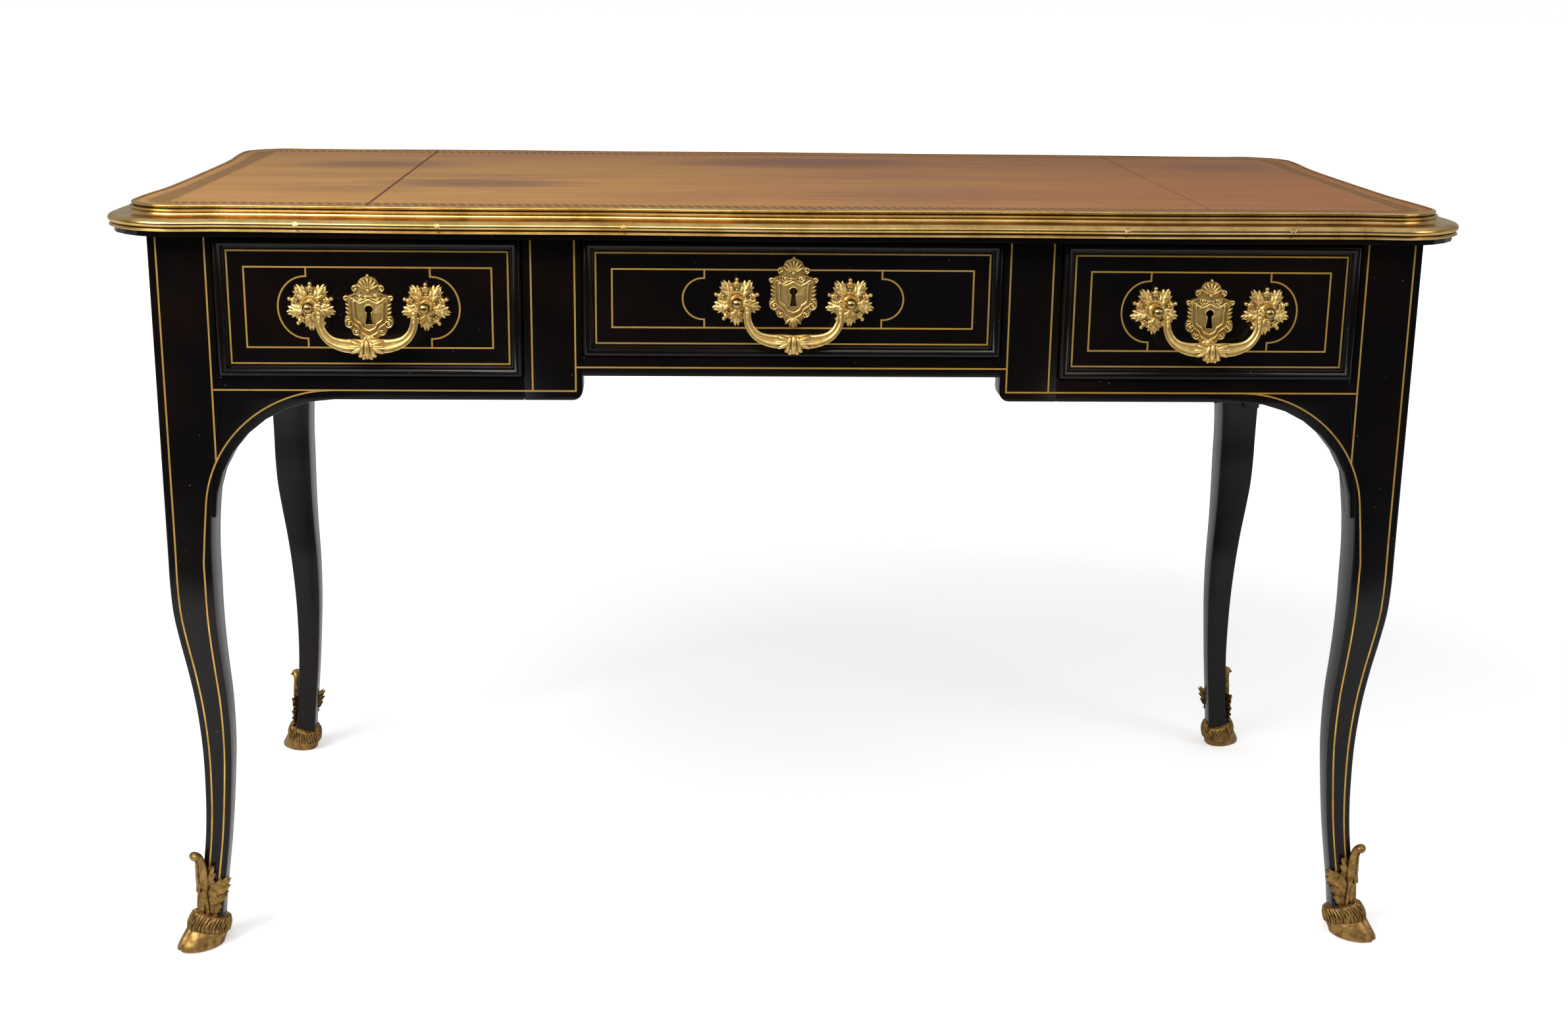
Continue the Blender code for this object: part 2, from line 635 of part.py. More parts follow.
def make_side_panel(name, sign):
    """End of the frieze: arched board with a moulded panel outside and a drawer runner inside."""
    right = arched_end(HALF_DEPTH, FRAME_TOP_Z)
    outline = right + [(-s, z) for s, z in reversed(right)]
    inner_x = HALF_FRAME - PANEL_THICKNESS
    board = prism(outline, along_x, inner_x, HALF_FRAME)
    end = right[0][0]
    sunk_x = inner_x + PANEL_THICKNESS / 4
    run = SIDE_RUNNER_Z
    profile = [(sunk_x, run - RUNNER_HEIGHT), (STILE_INNER_X - RUNNER_LEDGE, run - RUNNER_HEIGHT),
               (STILE_INNER_X - RUNNER_LEDGE, run), (STILE_INNER_X, run),
               (STILE_INNER_X, run + GUIDE_HEIGHT), (sunk_x, run + GUIDE_HEIGHT)]
    runner = prism(profile, along_y, -end, end)
    face = end - DRAWER_CLEARANCE
    rings = mould_ring(-face, face, APRON_TOP_Z + DRAWER_CLEARANCE, DRAWER_HEAD_Z, PANEL_THICKNESS / 4)
    loops = [[Vector((HALF_FRAME + rise, s, z)) for s, z in ring] for ring, rise in rings]
    panel = combine(board, ("UNION", runner), ("UNION", loft(bmesh.new(), loops, ring=True)))
    piece(name, mirrored(panel, sign, 1), EBONISED, DESK)


def make_back_panel():
    """Back of the frieze, dressed with three moulded panels in line with the drawers."""
    right = arched_end(HALF_FRAME, FRAME_TOP_Z)
    outline = right + [(-s, z) for s, z in reversed(right)]
    board = prism(outline, along_y, BACK_INNER_Y, HALF_DEPTH)
    steps = []
    edge = right[0][0] - DRAWER_CLEARANCE
    spans = ((-edge, -POST_OUTER_X), (-POST_INNER_X, POST_INNER_X), (POST_OUTER_X, edge))
    for x0, x1 in spans:
        rings = mould_ring(x0, x1, APRON_TOP_Z + DRAWER_CLEARANCE, DRAWER_HEAD_Z, PANEL_THICKNESS / 4)
        loops = [[Vector((s, HALF_DEPTH + rise, z)) for s, z in ring] for ring, rise in rings]
        steps.append(("UNION", loft(bmesh.new(), loops, ring=True)))
    piece("back_panel", combine(board, *steps), EBONISED, DESK)


# Drawers
class Drawer:
    """One drawer: its opening, its heights and the places of its mounts."""

    def __init__(self, name, x0, x1, opening_foot, runner_z, handle_drop, keyhole_drop):
        self.name = name
        self.x0 = x0 + DRAWER_CLEARANCE
        self.x1 = x1 - DRAWER_CLEARANCE
        self.middle_x = (x0 + x1) / 2
        self.foot = opening_foot + DRAWER_CLEARANCE
        self.head = DRAWER_HEAD_Z
        self.side_foot = runner_z + GAP
        self.side_head = DRAWER_HEAD_Z - SIDE_TOP_DROP
        self.front_back = FRONT_Y + FRONT_THICKNESS
        self.rear = BACK_INNER_Y - STOP_GAP
        self.bottom_z = self.side_foot + BOTTOM_LIFT
        self.handle_z = FRAME_TOP_Z - handle_drop
        self.keyhole = Vector((self.middle_x, FRONT_Y, FRAME_TOP_Z - keyhole_drop))
        self.empty = empty("drawer_" + name, (self.middle_x, FRONT_Y, self.foot), DESK)

    def side_faces(self):
        """Outer and inner faces of the two sides."""
        left, right = self.x0 + GAP, self.x1 - GAP
        return ((left, left + SIDE_THICKNESS), (right, right - SIDE_THICKNESS))

    def tails(self, grow):
        """Dovetails on the front end of a side, as outlines of (y, z)."""
        pitch = (self.side_head - self.side_foot) / TAIL_COUNT
        found = []
        for i in range(TAIL_COUNT):
            middle = self.side_foot + pitch * (i + 0.5)
            root = pitch * TAIL_ROOT_SHARE + grow
            tip = root + TAIL_SLOPE * TAIL_LENGTH
            far = self.front_back - TAIL_LENGTH - grow
            found.append([(self.front_back + GAP, middle - root), (far, middle - tip),
                          (far, middle + tip), (self.front_back + GAP, middle + root)])
        return found

    def bottom_box(self, grow):
        (_, left), (_, right) = self.side_faces()
        low = Vector((left - GROOVE_DEPTH, self.front_back - GROOVE_DEPTH, self.bottom_z))
        high = Vector((right + GROOVE_DEPTH, self.rear - BOTTOM_SETBACK, self.bottom_z + BOTTOM_THICKNESS))
        return low - Vector((grow,) * 3), high + Vector((grow,) * 3)


def keyhole_cutter(place, start, end):
    """Keyhole outline: a round eye over a flared slot."""
    radius, length = KEYHOLE_RADIUS, KEYHOLE_LENGTH
    eye = [(place.x + radius * math.sin(a), place.z + radius * math.cos(a))
           for a in (math.radians(d) for d in range(-140, 141, 35))]
    slot = [(place.x + radius * 0.95, place.z - length), (place.x - radius * 0.95, place.z - length)]
    return prism(eye + slot, along_y, start, end)


def rod(x, z, radius, start, end, sides=12):
    turns = [2 * math.pi * i / sides for i in range(sides)]
    outline = [(x + radius * math.cos(turn), z + radius * math.sin(turn)) for turn in turns]
    return prism(outline, along_y, start, end)


def make_drawer(drawer):
    name = "drawer_" + drawer.name + "_"
    x0, x1 = drawer.x0, drawer.x1
    loops = [rectangle(x0, x1, drawer.foot, drawer.head, 0.0, drawer.front_back)]
    for u, v in MOULD_SHAPE:
        loops.append(rectangle(x0, x1, drawer.foot, drawer.head, MOULD_WIDTH * u, FRONT_Y - MOULD_RISE * v))
    front = loft(bmesh.new(), loops)
    cuts = []
    sockets = bmesh.new()
    for outer, inner in drawer.side_faces():
        out = 1 if outer > inner else -1
        for tail in drawer.tails(GAP):
            prism(tail, along_x, outer + out * SIDE_THICKNESS / 2, inner - out * GAP, sockets)
    cuts.append(sockets)
    cuts.append(block(*drawer.bottom_box(GAP)))
    reach = (FRONT_Y - CUT_MARGIN, drawer.front_back + CUT_MARGIN)
    cuts.append(keyhole_cutter(drawer.keyhole, *reach))
    for side in (-1, 1):
        x = drawer.middle_x + side * HANDLE_SPREAD / 2
        cuts.append(rod(x, drawer.handle_z, SHANK_RADIUS + GAP, *reach))
    front = combine(front, *[("DIFFERENCE", cut) for cut in cuts])
    piece(name + "front", front, EBONISED, drawer.empty, origin=drawer.empty["place"])

    for side_name, (outer, inner) in zip(("side_left", "side_right"), drawer.side_faces()):
        outline = [(drawer.rear, drawer.side_foot), (drawer.rear, drawer.side_head),
                   (drawer.front_back + GAP, drawer.side_head)]
        for tail in reversed(drawer.tails(0.0)):
            outline += reversed(tail)
        outline.append((drawer.front_back + GAP, drawer.side_foot))
        side = prism(outline, along_x, outer, inner)
        side = combine(side, ("DIFFERENCE", block(*drawer.bottom_box(GAP))))
        piece(name + side_name, side, OAK, drawer.empty, origin=drawer.empty["place"])

    (_, left), (_, right) = drawer.side_faces()
    back_foot = drawer.bottom_z + BOTTOM_THICKNESS + GAP
    back = block((left + GAP, drawer.rear - BACK_THICKNESS, back_foot),
                 (right - GAP, drawer.rear, drawer.side_head))
    piece(name + "back", back, OAK, drawer.empty, origin=drawer.empty["place"])
    piece(name + "bottom", block(*drawer.bottom_box(0.0)), OAK, drawer.empty, origin=drawer.empty["place"])


# Handles
def turned(x, z, rings, count, lobe=0.0):
    """Rings of (reach, radius, share of the lobing) round an axis that points out of the front."""
    loops = []
    for reach, radius, share in rings:
        loop = []
        for i in range(count):
            turn = 2 * math.pi * i / count + math.pi / 2
            wave = radius * (1 + lobe * share * (1 if i % 2 == 0 else -1))
            loop.append(Vector((x + wave * math.cos(turn), FRONT_Y - reach, z + wave * math.sin(turn))))
        loops.append(loop)
    return loft(bmesh.new(), loops)


def rosette(x, z, pin_side, nut_y):
    """Cast rosette on its post: nut and shank behind, lobed leaf ring, neck and ball knob in front."""
    rings = [(reach, ROSETTE_RADIUS * share, lobing) for reach, share, lobing in ROSETTE_RINGS]
    leaves = turned(x, z, rings, 2 * ROSETTE_LOBES, LOBE_DEPTH)
    knob = KNOB_RADIUS
    shank = [(nut_y - NUT_HEIGHT, NUT_RADIUS, 0), (nut_y, NUT_RADIUS, 0), (nut_y, SHANK_RADIUS, 0),
             (GAP, SHANK_RADIUS, 0)]
    neck = [(2 * GAP, COLLAR_RADIUS, 0), (COLLAR_REACH, COLLAR_RADIUS, 0), (NECK_REACH, NECK_RADIUS, 0)]
    ball = [(KNOB_REACH - knob * math.cos(a), knob * math.sin(a), 0)
            for a in (math.radians(d) for d in (40, 70, 100, 130, 160))]
    post = turned(x, z, shank + neck + ball, POST_SIDES)
    bore = PIN_RADIUS + GAP
    turns = [2 * math.pi * i / POST_SIDES for i in range(POST_SIDES)]
    round_hole = [(FRONT_Y - KNOB_REACH + bore * math.cos(turn), z + bore * math.sin(turn)) for turn in turns]
    hole = prism(round_hole, along_x, x + pin_side * (knob - PIN_DEPTH - 2 * GAP), x + pin_side * 2 * knob)
    return combine(leaves, ("UNION", post), ("DIFFERENCE", hole))


def bail_path():
    """Half of the bail from its pin to its middle: place from the axis, and radius in depth and in height."""
    pin_x = HANDLE_SPREAD / 2 - KNOB_RADIUS
    neck_x = pin_x - ARM_STANDOFF
    arm_x = neck_x - ARM_INSET
    radius, middle = ARM_RADIUS, ARM_MIDDLE_RADIUS
    path = [(pin_x + PIN_DEPTH - GAP, 0.0, PIN_RADIUS), (pin_x - GAP, 0.0, PIN_RADIUS),
            (neck_x, 0.0, (PIN_RADIUS + radius) / 2), (arm_x, -radius, radius),
            (arm_x, -ARM_DROP / 2, radius), (arm_x - ARM_INSET / 3, -ARM_DROP, radius)]
    bend = [math.radians(d) for d in (20, 42, 66, 90)]
    for i, turn in enumerate(bend, 1):
        path.append((arm_x - ARM_INSET / 3 - arm_x / 2 * (1 - math.cos(turn)),
                     -ARM_DROP - (BAIL_DROP - ARM_DROP) * math.sin(turn),
                     radius + (middle - radius) * i / len(bend)))
    path.append((LEAF_DROP_HALF, -BAIL_DROP, middle))
    path = [(x, z, r, r) for x, z, r in path]
    drop = (BAIL_TIP_DROP - BAIL_DROP + middle) / 2
    leaf_z = drop - BAIL_TIP_DROP
    path.append((LEAF_DROP_HALF * 0.8, (leaf_z - BAIL_DROP) / 2, middle, (middle + drop) / 2))
    path.append((LEAF_DROP_HALF * 0.4, leaf_z, middle, drop))
    return path


def bail(x, z):
    """Swan-neck bail: a pin at each knob, arms that thicken to the middle, and a leaf drop."""
    path = bail_path()
    path += [(-px, pz, depth, tall) for px, pz, depth, tall in reversed(path)]
    axis = Vector((x, FRONT_Y - KNOB_REACH, z))
    forward = Vector((0, 1, 0))
    turns = [2 * math.pi * k / ARM_SIDES for k in range(ARM_SIDES)]
    loops = []
    for i, (px, pz, depth, tall) in enumerate(path):
        before, after = path[max(i - 1, 0)], path[min(i + 1, len(path) - 1)]
        along = Vector((after[0] - before[0], 0, after[1] - before[1])).normalized()
        if min(i, len(path) - 1 - i) < 2:
            along = Vector((-1, 0, 0))
        across = forward.cross(along)
        middle = axis + Vector((px, 0, pz))
        loops.append([middle + across * (tall * math.cos(turn)) + forward * (depth * math.sin(turn))
                      for turn in turns])
    return loft(bmesh.new(), loops), axis


# Half outline of the keyhole plate: share of half width, share of the crest or foot height
PLATE_OUTLINE = (
    (0.08, 1.0), (0.14, 0.93), (0.36, 0.82), (0.42, 0.66), (0.62, 0.60), (0.56, 0.40), (0.78, 0.30),
    (1.0, 0.26), (0.90, 0.10), (0.88, -0.20), (0.98, -0.36), (0.92, -0.50), (0.70, -0.56), (0.66, -0.72),
    (0.42, -0.78), (0.40, -0.92), (0.12, -1.0))


def plate(place):
    """Cast keyhole plate with a crest, ears and a foot, crowned inside a thin rim."""
    half = [(PLATE_HALF_WIDTH * u, (PLATE_CREST if v > 0 else PLATE_FOOT) * v) for u, v in PLATE_OUTLINE]
    outline = half + [(-s, v) for s, v in reversed(half)]
    loops = []
    rim = GAP + PLATE_THICKNESS
    for share, reach in ((1.0, GAP), (1.0, rim), (PLATE_PANEL, rim + PLATE_CROWN)):
        y = FRONT_Y - reach
        loops.append([Vector((place.x + s * share, y, place.z + v * share)) for s, v in outline])
    body = loft(bmesh.new(), loops)
    cutter = keyhole_cutter(place, FRONT_Y - CUT_MARGIN, FRONT_Y + CUT_MARGIN)
    return combine(body, ("DIFFERENCE", cutter))


def make_lock(drawer):
    """Lock case on the back of the drawer front, and the bolt that rises out of its top.

    Gives the two corners of the mortise that the bolt enters in the top.
    """
    place = drawer.keyhole
    near = drawer.front_back + GAP
    foot, head = place.z - LOCK_BELOW_KEY, drawer.head - LOCK_TOP_DROP
    case = block((place.x - LOCK_WIDTH / 2, near, foot), (place.x + LOCK_WIDTH / 2, near + LOCK_DEPTH, head))
    middle_y = near + LOCK_DEPTH / 2
    half = Vector((BOLT_WIDTH / 2, BOLT_DEPTH / 2, 0))
    low = Vector((place.x, middle_y, head - BOLT_HEIGHT)) - half
    high = Vector((place.x, middle_y, head)) + half
    room = Vector((BOLT_CLEARANCE, BOLT_CLEARANCE, 0))
    slot = block(low - room - Vector((0, 0, GAP)), high + room + Vector((0, 0, CUT_MARGIN)))
    name = "lock_" + drawer.name
    case = combine(case, ("DIFFERENCE", slot))
    piece(name + "_case", case, LOCK_BRASS, drawer.empty, origin=drawer.empty["place"])
    piece(name + "_bolt", block(low, high), STEEL, drawer.empty, origin=(place.x, middle_y, head))
    mortise_low, mortise_high = low - 2 * room, high + 2 * room
    mortise_low.z = BOARD_FOOT_Z - CUT_MARGIN
    mortise_high.z = head + BOLT_THROW + 2 * BOLT_CLEARANCE
    return mortise_low, mortise_high


def make_mounts(drawer):
    nut_y = -(FRONT_THICKNESS + GAP)
    for side_name, side in (("left", -1), ("right", 1)):
        x = drawer.middle_x + side * HANDLE_SPREAD / 2
        body = rosette(x, drawer.handle_z, -side, nut_y)
        piece("handle_" + drawer.name + "_rosette_" + side_name, body, GILT, drawer.empty,
              origin=(x, FRONT_Y, drawer.handle_z), smooth=40)
    body, axis = bail(drawer.middle_x, drawer.handle_z)
    piece("handle_" + drawer.name + "_bail", body, GILT, drawer.empty, origin=axis, smooth=50)
    body = plate(drawer.keyhole)
    piece("escutcheon_" + drawer.name, body, GILT, drawer.empty, origin=drawer.keyhole, smooth=40)


SIDE_DROPS = (SIDE_HANDLE_DROP, SIDE_KEYHOLE_DROP)
DRAWERS = (
    Drawer("left", -STILE_INNER_X, -POST_OUTER_X, APRON_TOP_Z, SIDE_RUNNER_Z, *SIDE_DROPS),
    Drawer("centre", -POST_INNER_X, POST_INNER_X, RAIL_TOP_Z, CENTRE_RUNNER_Z,
           CENTRE_HANDLE_DROP, CENTRE_KEYHOLE_DROP),
    Drawer("right", POST_OUTER_X, STILE_INNER_X, APRON_TOP_Z, SIDE_RUNNER_Z, *SIDE_DROPS),
)
for unit in DRAWERS:
    make_drawer(unit)
    make_mounts(unit)
make_top([make_lock(unit) for unit in DRAWERS])
make_legs()
make_frieze()
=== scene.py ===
# %% [markdown]
# # A bureau plat, dressed for its photograph
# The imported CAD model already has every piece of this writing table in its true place. This script
# leaves that frame where it is and gives it what a solid model lacks: sanded edges, brass lines let
# into black wood, cast and chased mounts, worn leather, and a studio to stand in. Each cell makes one
# kind of piece or one finish, in the order in which a maker would come to it.

# %% The frame
import json
import math

import bmesh
import bpy
from mathutils import Matrix, Vector
from mathutils.geometry import interpolate_bezier

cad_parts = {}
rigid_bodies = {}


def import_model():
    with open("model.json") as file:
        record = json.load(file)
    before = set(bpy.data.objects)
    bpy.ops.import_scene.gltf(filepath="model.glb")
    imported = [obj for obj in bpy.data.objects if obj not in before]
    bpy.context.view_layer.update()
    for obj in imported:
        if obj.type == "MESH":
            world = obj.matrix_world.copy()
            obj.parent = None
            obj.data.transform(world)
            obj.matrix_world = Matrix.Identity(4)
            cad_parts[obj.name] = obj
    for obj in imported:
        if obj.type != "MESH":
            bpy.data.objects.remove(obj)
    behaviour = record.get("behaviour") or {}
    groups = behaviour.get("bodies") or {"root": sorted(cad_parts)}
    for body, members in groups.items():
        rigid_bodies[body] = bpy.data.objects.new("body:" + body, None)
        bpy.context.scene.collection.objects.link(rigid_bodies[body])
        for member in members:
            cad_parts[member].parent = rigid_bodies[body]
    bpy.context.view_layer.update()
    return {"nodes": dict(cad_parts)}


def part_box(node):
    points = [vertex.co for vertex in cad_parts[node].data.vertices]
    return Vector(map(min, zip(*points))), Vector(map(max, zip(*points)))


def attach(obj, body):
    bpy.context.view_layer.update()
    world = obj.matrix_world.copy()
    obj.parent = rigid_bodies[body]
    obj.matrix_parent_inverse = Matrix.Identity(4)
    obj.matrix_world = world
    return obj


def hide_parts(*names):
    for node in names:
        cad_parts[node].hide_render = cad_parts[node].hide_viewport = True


for old in list(bpy.data.objects):
    bpy.data.objects.remove(old, do_unlink=True)
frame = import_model()
SIDES = (("left", -1), ("right", 1))
DRAWERS = ("left", "centre", "right")

# %% [markdown]
# ## The camera
# The photograph was taken from a little above the writing height, left of the middle, with a normal
# lens. The place and the angles were found by matching known corners of the desk with their places in
# the picture, so they are kept here as plain numbers.

# %% Camera
PHOTO_WIDTH = 2382
FOCAL_PIXELS = 3094.0
SENSOR_MM = 36.0
EYE = Vector((-0.0981, -2.2284, 0.9923))
PITCH, YAW, ROLL = (math.radians(a) for a in (14.987, 2.705, 0.752))

forward = Vector((math.sin(YAW) * math.cos(PITCH), math.cos(YAW) * math.cos(PITCH), -math.sin(PITCH)))
level = Vector((math.cos(YAW), -math.sin(YAW), 0))
upright = level.cross(forward)
across = level * math.cos(ROLL) + upright * math.sin(ROLL)
upward = upright * math.cos(ROLL) - level * math.sin(ROLL)

camera = bpy.data.objects.new("camera", bpy.data.cameras.new("camera"))
camera.data.sensor_width = SENSOR_MM
camera.data.lens = SENSOR_MM * FOCAL_PIXELS / PHOTO_WIDTH
camera.matrix_world = Matrix.Translation(EYE) @ Matrix((across, upward, -forward)).transposed().to_4x4()
bpy.context.scene.collection.objects.link(camera)
bpy.context.scene.camera = camera
bpy.context.scene.view_settings.view_transform = "Standard"
print("camera: lens", round(camera.data.lens, 1), "mm")

# %% [markdown]
# ## Tools for materials
# A shader takes linear colour, while a picked colour is sRGB, so one function turns hex values
# to linear. Another adds a node: its settings, and for each input a value or the socket that feeds it.

# %% Material tools
MM = 0.001


def linear(hex_colour):
    """sRGB hex to linear RGBA."""
    channels = [int(hex_colour[i:i + 2], 16) / 255 for i in (0, 2, 4)]
    return [c / 12.92 if c <= 0.04045 else ((c + 0.055) / 1.055) ** 2.4 for c in channels] + [1.0]


def add(owner, kind, inputs=None, **settings):
    """Add one shader node to a material or a world."""
    node = owner.node_tree.nodes.new("ShaderNode" + kind)
    for name, value in settings.items():
        setattr(node, name, value)
    for name, value in (inputs or {}).items():
        if isinstance(value, bpy.types.NodeSocket):
            owner.node_tree.links.new(value, node.inputs[name])
        else:
            node.inputs[name].default_value = value
    return node


def start_material(name, feeds, **values):
    """A material with its principled shader: values are set on it, feeds(material) gives sockets to link."""
    material = bpy.data.materials.new(name)
    material.use_nodes = True
    shader = material.node_tree.nodes["Principled BSDF"]
    for socket, value in values.items():
        shader.inputs[socket.replace("_", " ")].default_value = value
    for socket, source in feeds(material).items():
        material.node_tree.links.new(source, shader.inputs[socket])
    print("material:", name)
    return material


def per_mm(size_mm):
    """Texture scale that gives features about this many millimetres apart in object coordinates."""
    return 1.0 / (size_mm * MM)


# %% [markdown]
# ## Ebonised wood
# Fruitwood stained black and polished with shellac: it copies the depth of ebony. The eye sees a very
# dark, slightly brown black, a soft gloss that dulls a little with handling, fine grain, and specks and
# scratches where two centuries of use have gone through the polish. The brown shows where the stain has
# faded in slow clouds. The specks are drawn larger than dust, so that they still show at this distance.

# %% Ebonised wood
GRAIN_MM = 2.2
FADE_MM = 130.0
SPECK_MM = 17.0
SPECK_SIZE = 0.030
SMEAR_MM = 45.0


def ebonised_feeds(material):
    place = add(material, "TexCoord").outputs["Object"]
    fade = add(material, "TexNoise", {"Vector": place, "Scale": per_mm(FADE_MM), "Detail": 4.0}).outputs[0]
    fade = add(material, "MapRange", {"Value": fade, "From Min": 0.45, "From Max": 0.75}).outputs[0]
    tone = add(material, "Mix", {0: fade, 6: linear("080606"), 7: linear("150b07")}, data_type="RGBA").outputs[2]
    long_grain = add(material, "Mapping", {"Vector": place, "Scale": (1.0, 1.0, 0.08)}).outputs[0]
    grain = add(material, "TexNoise",
                {"Vector": long_grain, "Scale": per_mm(GRAIN_MM), "Detail": 3.0}).outputs[0]
    dents = add(material, "TexVoronoi", {"Vector": place, "Scale": per_mm(SPECK_MM), "Randomness": 1.0})
    where = add(material, "TexNoise", {"Vector": place, "Scale": per_mm(3 * SPECK_MM)}).outputs[0]
    size = add(material, "Math", {0: where, 1: 2 * SPECK_SIZE}, operation="MULTIPLY").outputs[0]
    speck = add(material, "Math", {0: dents.outputs["Distance"], 1: size}, operation="LESS_THAN").outputs[0]
    speck = add(material, "Math", {0: speck, 1: 0.45}, operation="MULTIPLY").outputs[0]
    colour = add(material, "Mix", {0: speck, 6: tone, 7: linear("8d8780")}, data_type="RGBA").outputs[2]
    smear = add(material, "TexNoise", {"Vector": place, "Scale": per_mm(SMEAR_MM), "Detail": 6.0}).outputs[0]
    gloss = add(material, "MapRange", {"Value": smear, "To Min": 0.14, "To Max": 0.30}).outputs[0]
    bump = add(material, "Bump", {"Height": grain, "Strength": 0.05, "Distance": 0.3 * MM}).outputs[0]
    return {"Base Color": colour, "Roughness": gloss, "Normal": bump}


ebonised_wood = start_material("ebonised_fruitwood", ebonised_feeds, Specular_IOR_Level=0.28)

# %% [markdown]
# ## Brass and gilt bronze
# Four metals, one recipe: a yellow copper alloy whose colour drifts where hands and polish don't reach.
# The edge moulding is cast brass, rubbed bright. The lines are drawn brass strip. The mounts are bronze,
# chased and then fire gilt, so they are paler. The shoes are the same, but worn and brown from floor
# polish. The hollows get a dark tone that is partly tarnish and wax and partly painted shade: the Ambient
# Occlusion node finds them, as it tells how much of the sky a point sees within a few millimetres of its own piece.

# %% Metals
def copper_alloy(name, tones, cloud_mm, rough, grit, hollow_mm):
    """A metal of three tones (bright, dull, and a dark tone of tarnish and painted shade for the hollows) with a
    fine cast surface: grit is (spacing, depth) in mm.
    """
    bright, dull, deep = (linear(tone) for tone in tones)

    def feeds(material):
        place = add(material, "TexCoord").outputs["Object"]
        cloud = add(material, "TexNoise",
                    {"Vector": place, "Scale": per_mm(cloud_mm), "Detail": 5.0, "Roughness": 0.62}).outputs[0]
        share = add(material, "MapRange", {"Value": cloud, "From Min": 0.40, "From Max": 0.70}).outputs[0]
        worn = add(material, "Mix", {0: share, 6: bright, 7: dull}, data_type="RGBA").outputs[2]
        # Hollows found by the Ambient Occlusion node get the dark tone: tarnish and wax, and painted shade.
        open_sky = add(material, "AmbientOcclusion", {"Distance": hollow_mm * MM}, samples=6, only_local=True)
        rubbed_and_lit = add(material, "MapRange",
                     {"Value": open_sky.outputs["AO"], "From Min": 0.25, "From Max": 0.85}).outputs[0]
        colour = add(material, "Mix", {0: rubbed_and_lit, 6: deep, 7: worn}, data_type="RGBA").outputs[2]
        gloss = add(material, "MapRange",
                    {"Value": cloud, "To Min": rough * 0.7, "To Max": rough * 1.4}).outputs[0]
        bumps = add(material, "TexNoise", {"Vector": place, "Scale": per_mm(grit[0]), "Detail": 4.0}).outputs[0]
        bump = add(material, "Bump", {"Height": bumps, "Strength": 0.5, "Distance": grit[1] * MM}).outputs[0]
        return {"Base Color": colour, "Roughness": gloss, "Normal": bump}
    return start_material(name, feeds, Metallic=1.0)


# The third tone of each metal is the dark of its hollows: tarnish, and painted shade.
edge_brass = copper_alloy("rubbed_cast_brass", ("e6c27c", "b48d46", "3d2a0e"), 40.0, 0.24, (9.0, 0.03), 2.0)
line_brass = copper_alloy("drawn_brass_line", ("f0c56a", "cfa250", "b48a3c"), 25.0, 0.50, (1.5, 0.03), 0.3)
gilt_bronze = copper_alloy("fire_gilt_bronze", ("f0d189", "cfa454", "4e340f"), 6.0, 0.40, (0.7, 0.18), 3.0)
knob_bronze = copper_alloy("handled_gilt_bronze", ("bd9f66", "8d7040", "4a3417"), 4.0, 0.24, (1.0, 0.05), 2.0)
shoe_bronze = copper_alloy("worn_gilt_bronze", ("ad8a52", "6c4c26", "251607"), 7.0, 0.42, (0.9, 0.14), 4.0)
lock_brass = copper_alloy("dull_sheet_brass", ("b39a5e", "857044", "4a3b20"), 18.0, 0.45, (1.2, 0.05), 2.0)
lock_steel = copper_alloy("forged_steel", ("8f8d88", "6d6a66", "3a3836"), 12.0, 0.42, (1.0, 0.05), 2.0)

# %% [markdown]
# ## Tooled leather
# Calf, dyed tan and pasted to the board in three skins. It has faded, and damp has left long purple
# brown clouds that run with the length of the table. The pores are a fraction of a millimetre apart,
# drawn at about one millimetre so that they show at all. Along the edge a roll tool has pressed a dark
# band between two gold fillets: the band's faces carry their own UV map, with U in metres along the band
# and V from its outer to its inner side.

# %% Leather
PORE_MM = 1.1
STREAK_MM = (170.0, 6.0)
STAIN_MM = (420.0, 90.0)
STAINS = [  # middle and half sizes of the damp clouds in metres, then their strength
    (-0.450, 0.115, 0.140, 0.065, 0.9), (-0.325, -0.075, 0.140, 0.065, 0.9), (-0.450, -0.140, 0.120, 0.050, 0.5),
    (0.050, 0.175, 0.200, 0.085, 1.0), (0.120, -0.150, 0.200, 0.100, 0.45), (0.520, 0.160, 0.100, 0.060, 0.6)]
TOOL_REPEAT_MM = 9.0


